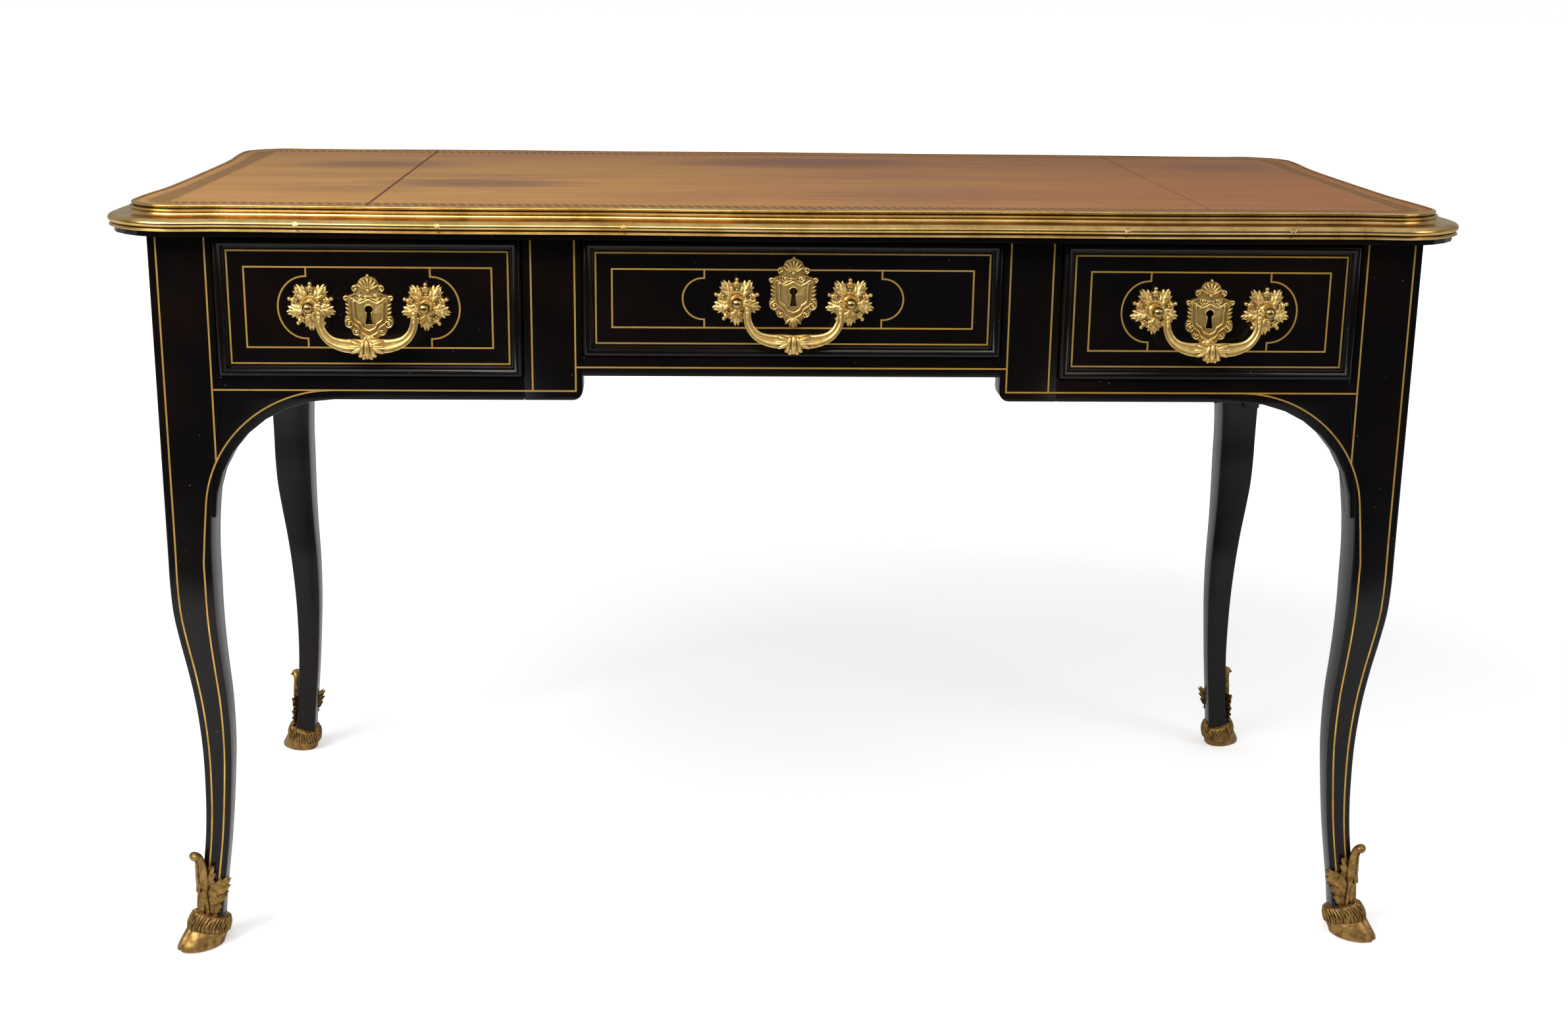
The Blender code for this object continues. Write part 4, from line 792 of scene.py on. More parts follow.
def drawer_lines(drawer):
    low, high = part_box("drawer_" + drawer + "_front")
    middle_x, middle_z = (low.x + high.x) / 2, (low.z + high.z) / 2
    lines = bmesh.new()
    for inset in (OUTER_LINE, INNER_LINE):
        corners = rectangle(low.x, high.x, low.z, high.z, inset)
        lay_line(lines, [(x, FIELD_Y, z) for x, z in corners], FRONT, closed=True)
    half = (high.z - low.z) / 2 - INNER_LINE
    end = half - TICK[drawer]
    for sign in (-1, 1):
        turns = [math.radians(90 - 180 * i / 24) for i in range(25)]
        bow = [(TICK_X[drawer] + JOG + (BULGE_X[drawer] - TICK_X[drawer] - JOG) * math.cos(t), end * math.sin(t))
               for t in turns]
        tick_x = TICK_X[drawer]
        foot = half - LINE_WIDTH / 2
        points = [(tick_x, foot), (tick_x, end), *bow, (tick_x, -end), (tick_x, -foot)]
        lay_line(lines, [(middle_x + sign * x, FIELD_Y, middle_z + z) for x, z in points], FRONT)
    return show("brass_lines_drawer_" + drawer, lines, "drawer_" + drawer, "gilt_bronze", line_brass)


for drawer in DRAWERS:
    drawer_lines(drawer)
print("drawer lines:", len(DRAWERS), "drawers")

# %% [markdown]
# The lines of the frame start under the top, go down both edges of each leg on its two outer faces, and
# swing from the leg over the arch into the apron. Where two lines merge, one stands a hair prouder. They
# are drawn once for a corner, in distances s along the face from the corner, and then laid on every face.

# %% Frame lines
FRAME_TOP = leg_high.z - MM
OUTER_FOOT, INNER_FOOT = 0.078, 0.066
ARCH_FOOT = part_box("apron_right")[0].z
APRON_LINE_Z = 0.5876
ARCH_SPAN, ARCH_DROP = 0.120, 0.118
ARCH_LINE_OUT = APRON_LINE_Z - ARCH_FOOT - ARCH_DROP
ARCH_MIDDLE = CORNER.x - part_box("apron_right")[1].x + 3.6 * MM + ARCH_SPAN
STILE_LINE = 53.5 * MM
POST_LINES = (0.2097, 0.2513)
RAIL_LINE_Z = 0.611


def leg_inset(z):
    """How far inside the leg's edge its line runs: less where the leg is thin."""
    return (6.3 + 1.6 * min(1.0, max(0.0, (z - 0.12) / 0.30))) * MM


def arch_point(degrees):
    turn = math.radians(degrees)
    return (ARCH_MIDDLE - (ARCH_SPAN + ARCH_LINE_OUT) * math.cos(turn),
            ARCH_FOOT + (ARCH_DROP + ARCH_LINE_OUT) * math.sin(turn))


LEG_LINE_STEP = 0.012
outer_heights = [OUTER_FOOT + LEG_LINE_STEP * i for i in range(29)]
inner_heights = [INNER_FOOT + LEG_LINE_STEP * i for i in range(30)]
outer_line = [(leg_row(z)[0] + leg_inset(z), z) for z in outer_heights] + [(8 * MM, 0.44), (8 * MM, FRAME_TOP)]
inner_line = [(leg_row(z)[1] - leg_inset(z), z) for z in inner_heights]
inner_line = smooth_path([Vector((s, z, 0)) for s, z in inner_line + [arch_point(d) for d in range(6, 91, 6)]], 2)
inner_line = [(p.x, p.y) for p in inner_line]
MEETING = 26
stile_line = [(STILE_LINE, FRAME_TOP), arch_point(MEETING)]
spandrel_line = [(STILE_LINE + LINE_WIDTH / 2, APRON_LINE_Z), (ARCH_MIDDLE, APRON_LINE_Z)]
MERGED_PROUD = LINE_PROUD + 0.02 * MM


def face_lines(bm, end_s, along_x, sx, sy):
    """Lay the corner's lines on one of its faces; the apron line goes on to end_s."""
    def place(s, z):
        sink = leg_row(z)[0]
        spot = at_corner(s, sink, z) if along_x else at_corner(sink, s, z)
        return Vector((spot.x * sx, spot.y * sy, z))
    out = Vector((0, -sy, 0)) if along_x else Vector((sx, 0, 0))
    for line in (outer_line, inner_line + [(end_s, APRON_LINE_Z)]):
        lay_line(bm, [place(s, z) for s, z in line], out)
    for line in (stile_line, spandrel_line):
        lay_line(bm, [place(s, z) for s, z in line], out, proud=MERGED_PROUD)


frame_lines = bmesh.new()
for end, side, sx, sy in CORNERS:
    face_lines(frame_lines, CORNER.x - POST_LINES[0] - LINE_WIDTH / 2 if end == "front" else CORNER.x, True, sx, sy)
    face_lines(frame_lines, -CORNER.y, False, sx, sy)
for sign in (-1, 1):
    for x, foot in zip(POST_LINES, (APRON_LINE_Z - LINE_WIDTH / 2, APRON_LINE_Z + LINE_WIDTH / 2)):
        lay_line(frame_lines, [(sign * x, FIELD_Y, foot), (sign * x, FIELD_Y, FRAME_TOP)], FRONT)
rail_end = POST_LINES[0] - LINE_WIDTH / 2
lay_line(frame_lines, [(-rail_end, FIELD_Y, RAIL_LINE_Z), (rail_end, FIELD_Y, RAIL_LINE_Z)], FRONT)
show("brass_lines_frame", frame_lines, "desk", "gilt_bronze", line_brass)
print("frame lines laid on", 2 * len(CORNERS), "faces")

# %% [markdown]
# The ends and the back carry moulded panels in line with the drawers, so they get the same two frames.

# %% Panel lines
panel_lines = bmesh.new()
panel_low, panel_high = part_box("drawer_right_front")
side_half = -CORNER.y - (CORNER.x - leg_low.x) - MM
for inset in (OUTER_LINE, INNER_LINE):
    for sx in (-1, 1):
        corners = rectangle(-side_half, side_half, panel_low.z, panel_high.z, inset)
        lay_line(panel_lines, [(sx * CORNER.x, y, z) for y, z in corners], (sx, 0, 0), closed=True)
    for x0, x1 in ((-0.5505, -0.2605), (-0.202, 0.202), (0.2605, 0.5505)):
        corners = rectangle(x0, x1, panel_low.z, panel_high.z, inset)
        lay_line(panel_lines, [(x, -FIELD_Y, z) for x, z in corners], (0, 1, 0), closed=True)
show("brass_lines_panels", panel_lines, "desk", "gilt_bronze", line_brass)
print("panel lines: two frames on each of five panels")

# %% [markdown]
# ## Chased leaves
# Cast mounts are worked over with small chisels, so every leaf has teeth, a rib and veins. A leaf starts
# as a flat grid, its points are moved into the outline and swelled, and the sheet gets its thickness last.

# %% Leaf tool
def thicken(bm, depth):
    """Make a sheet a solid: its faces are extruded by depth."""
    back = bmesh.ops.extrude_face_region(bm, geom=bm.faces[:], use_keep_orig=True)["geom"]
    bmesh.ops.translate(bm, vec=depth, verts=[g for g in back if isinstance(g, bmesh.types.BMVert)])
    bmesh.ops.recalc_face_normals(bm, faces=bm.faces)


def chased_leaf(length, width, teeth, swell, thickness, foot=0.10, bite_depth=0.40):
    """A leaf along +Y, its upper face towards +Z, in millimetres. A larger foot makes it broader at its root."""
    bm = bmesh.new()
    bmesh.ops.create_grid(bm, x_segments=10, y_segments=7 * teeth, size=1.0)
    for vert in bm.verts:
        u, v = vert.co.x, (vert.co.y + 1) / 2
        bite = (v * teeth) % 1.0
        half = width / 2 * math.sin(math.pi * (foot + (1 - foot) * v)) ** 0.8 * (1 - bite_depth * (1 - bite))
        rib = 0.35 * max(0.0, 1 - abs(u) / 0.25)
        vein = 0.16 * math.cos(2 * math.pi * (teeth * v - 1.2 * abs(u)))
        height = swell * (math.sin(math.pi * v) * (1 - 0.5 * u * u) + rib + vein * abs(u))
        vert.co = Vector((u * half, v * length + 0.22 * width * abs(u) * bite, height)) * MM
    bmesh.ops.remove_doubles(bm, verts=bm.verts, dist=0.02 * MM)
    thicken(bm, Vector((0, 0, -thickness * MM)))
    return bm


def on_mount(x, y, z, degrees=0.0, tip=0.0):
    """A place on a mount, in millimetres: x right, y up, z out from the drawer, turned and tipped."""
    turn = Matrix.Rotation(math.radians(degrees), 4, "Z") @ Matrix.Rotation(math.radians(tip), 4, "X")
    return Matrix.Translation(Vector((x, y, z)) * MM) @ turn


def lump(bm, x, y, z, radii, degrees=0.0):
    """Add a rounded lump to a mount, in millimetres."""
    join(bm, pebble((0, 0, 0), [r * MM for r in radii]), on_mount(x, y, z, degrees))


def bar(bm, points, radii, flutes=0, depth=0.0, sides=10):
    """Add a tapering bar along points in a mount's plane; radii are (across, outwards) pairs in millimetres."""
    line = [Vector(p) * MM for p in points]
    sizes = [(a * MM, b * MM) for a, b in radii]
    join(bm, sweep(round_section(sides, flutes, depth), tube_stations(line, sizes, Vector((0, 0, 1)))))


def volute(bm, x, y, z, radius, start, turns, hand, thick):
    """Add a scroll that winds inwards from radius, with a button at its eye."""
    steps = int(14 * turns)
    points, radii = [], []
    for i in range(steps + 1):
        share = i / steps
        angle = math.radians(start) + hand * 2 * math.pi * turns * share
        reach = radius * (1 - 0.72 * share)
        points.append((x + reach * math.cos(angle), y + reach * math.sin(angle), z + 0.8 * share))
        radii.append((thick * (1 - 0.35 * share), thick))
    bar(bm, points, radii, sides=8)
    lump(bm, x, y, z + 0.6, (radius * 0.33, radius * 0.33, thick * 1.3))


# %% [markdown]
# ## Rosettes
# A rosette holds each end of a handle: five vine leaves and five berries round a beaded collar, with a
# ball knob on a turned post, and a nut inside the drawer. The post and the ball are turned by spin.

# %% Rosettes
LEAF_ANGLES = (126, 54, 198, 342, 270)
BERRY_ANGLES = (90, 162, 18, 234, 306)
KNOB_OUT = 18.0
KNOB_RADIUS = 5.7


def make_rosette():
    bm = bmesh.new()
    dish = [(0, 0), (14.5, 0), (15.5, 0.8), (14.0, 2.2), (10.5, 3.0), (9.9, 4.4), (8.2, 5.0), (6.6, 4.2),
            (4.4, 5.8), (3.4, 8.0), (3.2, 13.5), (0, 13.5)]
    join(bm, turned([(r * MM, z * MM) for r, z in dish], 40))
    nut = [(0, -26.0), (1.9, -26.0), (1.9, -23.5), (5.5, -23.5), (5.5, -20.2), (0, -20.2)]
    join(bm, turned([(r * MM, z * MM) for r, z in nut], 8))
    for angle in LEAF_ANGLES:
        turn = math.radians(angle)
        place = on_mount(4.4 * math.cos(turn), 4.4 * math.sin(turn), 2.0, angle - 90)
        join(bm, chased_leaf(17.1, 17.8, 5, 2.6, 1.6), place)
        for lean in (-24, 24):
            place = on_mount(6.5 * math.cos(turn), 6.5 * math.sin(turn), 4.4, angle - 90 + lean)
            join(bm, chased_leaf(9.5, 5.5, 3, 1.4, 1.0), place)
    for angle in BERRY_ANGLES:
        turn = math.radians(angle)
        for reach, side, size in ((20.9, 0.0, 2.0), (17.4, 0.0, 2.6), (16.5, 2.1, 1.6), (16.5, -2.1, 1.6),
                                  (14.2, 1.2, 1.5), (14.2, -1.2, 1.5)):
            x = reach * math.cos(turn) - side * math.sin(turn)
            y = reach * math.sin(turn) + side * math.cos(turn)
            lump(bm, x, y, 3.0 + 0.25 * size, (size, size, size))
    for i in range(20):
        turn = 2 * math.pi * i / 20
        lump(bm, 9.0 * math.cos(turn), 9.0 * math.sin(turn), 4.9, (1.15, 1.15, 1.1))
    ball = bmesh.new()
    bmesh.ops.create_uvsphere(ball, u_segments=32, v_segments=20, radius=KNOB_RADIUS * MM)
    for face in ball.faces:
        face.material_index = 1
    join(bm, ball, on_mount(0, 0, KNOB_OUT))
    return bm


# %% [markdown]
# ## Bail handles
# The bail is cast in one: a scrolled head beside each knob, fluted arms that thicken towards the middle,
# and a shell with a polished boss that hides where the arms meet. The arms are one fluted section swept
# along a line that was measured on the photograph.

# %% Bails
HALF_SPREAD = 54.5
ARM_LINE = [(-44.2, -3.5), (-44.9, -11.0), (-43.9, -18.2), (-40.2, -25.8), (-33.4, -32.0), (-22.0, -35.8),
            (-10.0, -36.4), (0.0, -36.2)]
ARM_RADII = [2.5, 3.1, 3.4, 3.7, 4.3, 5.4, 5.9, 5.0]


def make_bail():
    bm = bmesh.new()
    half = smooth_path([Vector((x, y, r)) for (x, y), r in zip(ARM_LINE, ARM_RADII)], 5)
    whole = half + [Vector((-p.x, p.y, p.z)) for p in reversed(half[:-1])]
    bar(bm, [(p.x, p.y, KNOB_OUT) for p in whole], [(p.z, p.z * 0.92) for p in whole], 7, 0.17, 56)
    for sign in (-1, 1):
        pin = [(sign * x, 0.0, KNOB_OUT) for x in (-49.6, -47.5, -45.0, -43.4)]
        bar(bm, pin, [(1.7, 1.7), (1.7, 1.7), (2.2, 2.2), (1.6, 1.6)])
        volute(bm, sign * -45.0, 0.6, KNOB_OUT, 3.5, -70 if sign < 0 else -110, 1.2, -sign, 1.5)
        for y, size, lean in ((-5.5, 3.4, 12), (-9.5, 3.0, -8), (-13.0, 2.4, 14)):
            lump(bm, sign * -44.6, y, KNOB_OUT + 1.2, (size * 0.78, size, 2.6), sign * lean)
        for lean, reach, long in ((22, 9.6, 7.4), (0, 10.6, 8.4), (-24, 10.0, 7.6)):
            turn = math.radians(lean)
            lump(bm, sign * reach * math.cos(turn), -36.2 + reach * math.sin(turn) * 0.8, KNOB_OUT + 2.6,
                 (long, 2.5, 3.9), sign * lean)
        lump(bm, sign * 4.7, -38.0, KNOB_OUT + 3.2, (2.5, 7.6, 3.6), sign * 12)
        for lean, reach in ((24, 6.8), (50, 7.2)):
            turn = math.radians(-90 + sign * lean)
            lump(bm, reach * math.cos(turn), -39.3 + reach * math.sin(turn), KNOB_OUT + 1.6,
                 (2.5, 3.9, 3.2), sign * lean)
    lump(bm, 0, -39.0, KNOB_OUT + 0.8, (8.2, 6.8, 4.4))
    lump(bm, 0, -45.2, KNOB_OUT + 1.4, (2.4, 3.6, 3.1))
    lump(bm, 0, -38.0, KNOB_OUT + 4.0, (3.0, 8.6, 3.8))
    return bm


# %% [markdown]
# ## Escutcheons
# A cast plate protects the wood round each keyhole. The plate is one outline with the keyhole left open,
# filled, extruded and bevelled. On it sit what a chaser would call the furniture: a shell crest with a
# ball on top, two C scrolls, ears, a double border round a stippled shield, and a leaf at the foot.

# %% Escutcheons
PLATE_HALF = [
    (0, 31.2), (4.4, 30.6), (7.6, 28.6), (9.3, 26.0), (9.8, 24.0), (11.6, 23.6), (13.9, 21.6), (13.6, 18.8),
    (11.8, 16.8), (11.6, 15.4), (14.0, 14.6), (17.6, 13.8), (19.4, 12.7), (21.0, 13.2), (22.9, 12.4),
    (23.4, 10.2), (22.2, 8.0), (20.8, 7.4), (19.4, 6.2), (20.9, 4.4), (20.2, 2.6), (21.6, 1.0), (20.6, -1.0),
    (21.4, -3.2), (20.4, -5.0), (21.8, -7.2), (23.2, -10.6), (22.7, -14.6), (20.2, -18.0), (17.2, -19.2),
    (16.6, -21.6), (14.6, -24.6), (11.4, -25.8), (9.0, -26.6), (8.2, -29.0), (5.6, -30.6), (3.2, -33.2), (0, -35.6)]
SHIELD = [(0, 9.4), (3.6, 7.6), (8.6, 6.0), (13.4, 8.2), (13.4, 0), (13.2, -8.6), (11.2, -11.4), (8.0, -13.6),
          (6.2, -17.2), (3.0, -19.4), (0, -20.4)]
EYE_RADIUS = 4.3
SLOT = [(2.5, -3.5), (2.6, -6.0), (3.9, -14.8)]


def both_halves(points):
    """A closed outline from its right half."""
    return list(points) + [(-x, y) for x, y in reversed(points) if abs(x) > 0.01]


def rounded(points, steps):
    """The closed outline of a right half and its mirror, drawn smooth."""
    line = smooth_path([Vector((x, y, 0)) for x, y in both_halves(points)], steps, closed=True)
    return [(p.x, p.y) for p in line]


def ring_bar(bm, points, z, thick, scale=1.0):
    """Add a raised border: a small round section swept round a closed line."""
    line = [Vector((x * scale, y * scale, z)) * MM for x, y in points]
    count = len(line)
    stations = []
    for i, spot in enumerate(line):
        along = (line[(i + 1) % count] - line[i - 1]).normalized()
        side = Vector((0, 0, 1)).cross(along)
        turn = Matrix((side, Vector((0, 0, 1)), along)).transposed().to_4x4()
        stations.append(Matrix.Translation(spot) @ turn @ Matrix.Scale(thick * MM, 4))
    join(bm, sweep(round_section(8), stations, ring=True))


def make_escutcheon():
    bm = bmesh.new()
    eye = [(EYE_RADIUS * math.sin(t), EYE_RADIUS * math.cos(t)) for t in
           (math.radians(150 * i / 10) for i in range(11))]
    keyhole = both_halves(eye + SLOT)
    plate = bmesh.new()
    border = []
    for loop in (rounded(PLATE_HALF, 3), keyhole):
        verts = [plate.verts.new((x * MM, y * MM, 0)) for x, y in loop]
        border += [plate.edges.new(pair) for pair in zip(verts, verts[1:] + verts[:1])]
    bmesh.ops.triangle_fill(plate, use_beauty=True, edges=border, normal=(0, 0, 1))
    front = bmesh.ops.extrude_face_region(plate, geom=plate.faces[:], use_keep_orig=True)["geom"]
    bmesh.ops.translate(plate, vec=(0, 0, 2.4 * MM), verts=[g for g in front if isinstance(g, bmesh.types.BMVert)])
    bmesh.ops.dissolve_limit(plate, angle_limit=math.radians(1), verts=plate.verts, edges=plate.edges)
    rim = [e for e in plate.edges if min(v.co.z for v in e.verts) > 2 * MM]
    bmesh.ops.bevel(plate, geom=rim, offset=0.7 * MM, offset_type="OFFSET", affect="EDGES", segments=2,
                    profile=0.5, material=-1, clamp_overlap=True)
    join(bm, plate)
    ring_bar(bm, keyhole, 2.5, 0.6)
    ring_bar(bm, rounded(SHIELD, 5), 2.8, 1.05)
    ring_bar(bm, rounded(SHIELD, 5), 2.5, 0.9, 1.27)
    for i in range(7):
        turn = math.radians(30 + 20 * i)
        x, y = 7.2 * math.cos(turn), 17.8 + 7.2 * math.sin(turn)
        lump(bm, x, y, 3.0, (1.5, 5.4, 2.0), math.degrees(turn) - 90)
    for x, y, size in ((0, 32.4, 1.6), (4.4, 29.8, 1.1), (-4.4, 29.8, 1.1), (0, 18.0, 2.2)):
        lump(bm, x, y, 2.8, (size, size, size))
    lump(bm, 0, 12.6, 3.0, (5.2, 1.1, 1.5))
    for sign in (-1, 1):
        volute(bm, sign * 7.6, 12.4, 3.0, 3.6, 90, 1.4, -sign, 0.95)
        bar(bm, [(sign * x, y, 2.8) for x, y in ((7.6, 16.0), (12.0, 15.0), (16.5, 13.0), (19.5, 9.4))],
            [(0.8, 1.2), (1.2, 1.6), (1.2, 1.6), (0.9, 1.2)])
        volute(bm, sign * 12.2, 20.4, 2.6, 3.1, -90, 1.2, sign, 0.9)
        volute(bm, sign * 21.4, 10.5, 2.4, 2.5, 180 if sign > 0 else 0, 1.1, -sign, 0.9)
        volute(bm, sign * 18.2, -13.8, 3.0, 4.4, 90, 1.5, -sign, 1.0)
        volute(bm, sign * 12.0, -22.0, 2.8, 3.4, 60 if sign > 0 else 120, 1.3, -sign, 0.9)
        for y, lean in ((4.2, 58), (0.6, 62), (-3.4, 66), (-7.4, 74)):
            lump(bm, sign * 19.6, y, 2.6, (1.1, 2.9, 1.6), -sign * lean)
        bar(bm, [(sign * x, y, 2.6) for x, y in ((17.4, 6.6), (17.8, 0.0), (17.6, -5.0), (19.0, -9.6))],
            [(0.7, 1.0), (1.0, 1.4), (1.0, 1.4), (0.8, 1.0)])
        for lean in (18, 44):
            turn = math.radians(-90 + sign * lean)
            lump(bm, 6.4 * math.cos(turn), -23.8 + 6.4 * math.sin(turn), 2.9, (1.5, 4.6, 1.8), sign * lean)
    lump(bm, 0, -30.0, 3.0, (1.7, 5.2, 2.2))
    return bm


# %% [markdown]
# One set of mounts is modelled and copied to the three drawers. The frame gives each place: the knob's
# axis and the keyhole of every drawer.

# %% Mounts in place
def seat(x, z):
    """From a mount's own directions to the frame: its z axis points out of the drawer front."""
    return Matrix(((1, 0, 0, x), (0, 0, -1, FIELD_Y), (0, 1, 0, z), (0, 0, 0, 1)))


def put(part, name, place, body, node, *materials):
    copy = part.copy()
    bmesh.ops.transform(copy, matrix=place, verts=copy.verts)
    show(name, copy, body, "gilt_bronze", *materials, replaces=[node], smooth=40)


# On the frame's plate: its height, and the keyhole's round eye below its top.
PLATE_HEIGHT, EYE_BELOW_TOP = 69.2, 33.4
rosette, bail, escutcheon = make_rosette(), make_bail(), make_escutcheon()
for drawer in DRAWERS:
    body = "drawer_" + drawer
    low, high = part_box("handle_" + drawer + "_rosette_left")
    far_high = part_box("handle_" + drawer + "_rosette_right")[1]
    knob_z = (low.z + high.z) / 2
    middle_x = (low.x + far_high.x) / 2
    for side, sign in SIDES:
        node = "handle_" + drawer + "_rosette_" + side
        put(rosette, "rosette_" + drawer + "_" + side, seat(middle_x + sign * HALF_SPREAD * MM, knob_z), body,
            node, gilt_bronze, knob_bronze)
    put(bail, "bail_" + drawer + "_cast", seat(middle_x, knob_z), "bail_" + drawer, "handle_" + drawer + "_bail",
        gilt_bronze)
    plate_low, plate_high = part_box("escutcheon_" + drawer)
    keyhole_z = plate_high.z - (plate_high.z - plate_low.z) * EYE_BELOW_TOP / PLATE_HEIGHT
    put(escutcheon, "escutcheon_" + drawer + "_chased", seat(middle_x, keyhole_z), body,
        "escutcheon_" + drawer, gilt_bronze)
    print(drawer, "mounts: knob", round(knob_z, 4), "keyhole", round(keyhole_z, 4))
for part in (rosette, bail, escutcheon):
    print("cast faces:", len(part.faces))
    part.free()

# %% [markdown]
# ## Sabots
# A gilt bronze shoe protects each foot: a cloven hoof, a collar of hair, and an acanthus leaf that climbs
# both outer faces and ends in a scroll. The hoof and the collar are ovals swept upwards along the leg's
# diagonal, the locks of hair are short bent bars, and the leaf is a grid laid on the leg's own faces.

# %% Hoof and hair
HOOF_SIDES = 44
HOOF = [  # middle on the diagonal, half length, half width, toe height, heel height, in millimetres
    (7.2, 23.6, 17.8, 0.0, 0.0), (6.0, 25.5, 19.5, 1.0, 0.6), (6.2, 25.4, 19.8, 3.0, 1.6),
    (7.8, 24.2, 19.6, 8.0, 4.0), (9.8, 22.8, 19.3, 13.5, 6.5), (11.6, 21.6, 19.0, 18.6, 8.6),
    (12.4, 20.6, 18.2, 20.2, 9.6)]
COLLAR = [
    (12.6, 19.6, 17.4, 18.6, 8.6), (13.0, 21.2, 18.9, 20.6, 10.6), (13.8, 21.2, 19.1, 25.5, 14.5),
    (15.2, 20.2, 18.6, 31.0, 19.5), (16.4, 18.6, 17.6, 35.5, 24.0), (17.4, 15.5, 15.0, 37.0, 26.5)]
CLEFT = 0.10
LOCKS = 38
LOCK_STEPS = 10
DIAGONAL = Vector((1, -1, 0)).normalized()
CROSSWISE = Vector((1, 1, 0)).normalized()


def oval_station(middle, half_length, half_width, toe, heel):
    """An oval on the leg's diagonal, higher at its toe than at its heel."""
    tilt = Vector((0, 0, (toe - heel) / 2 / half_length))
    turn = Matrix(((DIAGONAL + tilt) * half_length, CROSSWISE * half_width, Vector((0, 0, 1)))).transposed()
    spot = at_corner(middle * MM, middle * MM, (toe + heel) / 2 * MM)
    return Matrix.Translation(spot) @ (turn * MM).to_4x4()


def hoof_section(cleft):
    points = []
    for i in range(HOOF_SIDES):
        turn = 2 * math.pi * i / HOOF_SIDES
        bend = math.atan2(math.sin(turn), math.cos(turn))
        reach = 1 - cleft * math.exp(-(bend / 0.08) ** 2)
        points.append((reach * math.cos(turn), reach * math.sin(turn)))
    return points


sabot = sweep(hoof_section(CLEFT), [oval_station(*row) for row in HOOF])
join(sabot, sweep(hoof_section(0.0), [oval_station(*row) for row in COLLAR]))
for i in range(LOCKS):
    for row, foot, rise, size in ((0, 0.3, 4.3, 1.0), (1, 1.7, 3.0, 0.85)):
        turn = 2 * math.pi * (i + 0.5 * row) / LOCKS
        wild = math.sin(2.4 * i + 1.9 * row)
        points, radii = [], []
        for k in range(LOCK_STEPS + 1):
            share = k / LOCK_STEPS
            height = foot + 0.35 * wild * (1 - share) + rise * share
            low = COLLAR[min(int(height), 4)]
            high = COLLAR[min(int(height) + 1, 5)]
            ring = [a + (b - a) * (height - int(height)) for a, b in zip(low, high)]
            swing = turn + (0.09 + 0.04 * wild) * math.sin(1.5 * math.pi * share + 0.5 * wild)
            points.append(oval_station(*ring) @ Vector((math.cos(swing), math.sin(swing), 0)))
            swell = size * math.sin(math.pi * (0.08 + 0.80 * share)) ** 0.7
            radii.append((1.25 * swell * MM, 1.75 * swell * MM))
        away = (points[LOCK_STEPS // 2] - oval_station(*COLLAR[3]).translation).normalized()
        join(sabot, sweep(round_section(8), tube_stations(points, radii, away)))
print("hoof and hair:", len(sabot.faces), "faces")

# %% Leaf, beads and scroll
LEAF_EDGE = [  # height, reach from the leg's outer corner, in millimetres
    (30.0, 13.0), (36.0, 15.5), (44.0, 17.0), (52.0, 18.5), (60.0, 19.0), (66.0, 17.0), (71.0, 12.0), (78.0, 8.5),
    (85.0, 5.0)]
LEAFLETS = [  # reach and height of the foot, rise in degrees, length, width, teeth
    (11.0, 30.5, 22, 9.0, 8.0, 2), (9.0, 33.0, 43, 18.6, 12.0, 3), (8.5, 40.0, 42, 23.6, 13.0, 3),
    (7.0, 46.0, 53, 33.8, 24.0, 5), (0.5, 57.0, 72, 30.5, 19.0, 4)]
STEM = [(9.5, 30.0, 1.6), (9.2, 38.0, 2.2), (7.4, 48.0, 2.2), (5.0, 58.0, 2.0), (2.6, 68.0, 1.6)]
SCROLL = [(-3.0, 52.0), (-0.8, 62.0), (0.8, 72.0), (2.4, 82.0), (4.6, 91.0), (8.0, 97.2), (11.6, 99.8)]
SCROLL_SIZE = [(2.0, 6.0), (3.4, 9.4), (3.8, 10.2), (3.8, 9.6), (3.9, 8.0), (4.0, 7.0), (3.8, 6.6)]
SCROLL_STEPS = 4
LEAF_CURL = 3.6
VEINS = 16
BEADS = 11


def on_leg(s, z, out, on_front):
    """A place on the leg's front or outer face, from millimetres: s from the corner, z up, out from the face."""
    outer = leg_row(z * MM)[0]
    a, b = outer + s * MM, outer - out * MM
    return at_corner(a, b, z * MM) if on_front else at_corner(b, a, z * MM)


def acanthus_sheet(on_front):
    """The sheet behind the leaflets, which closes the gaps between them."""
    bm = bmesh.new()
    bmesh.ops.create_grid(bm, x_segments=24, y_segments=44, size=1.0)
    for vert in bm.verts:
        u, v = (vert.co.x + 1) / 2, (vert.co.y + 1) / 2
        z = LEAF_EDGE[0][0] + v * (LEAF_EDGE[-1][0] - LEAF_EDGE[0][0])
        low, high = next(pair for pair in zip(LEAF_EDGE, LEAF_EDGE[1:]) if z <= pair[1][0] + 0.01)
        reach = low[1] + (high[1] - low[1]) * (z - low[0]) / (high[0] - low[0])
        s = -1.4 + u * (reach + 1.4)
        vein = math.cos(VEINS * math.atan2(z - LEAF_EDGE[0][0] + 6.0, s - 4.0))
        vert.co = on_leg(s, z, 1.6 + 0.6 * vein, on_front)
    thicken(bm, Vector((0, 2.5 * MM, 0)) if on_front else Vector((-2.5 * MM, 0, 0)))
    return bm


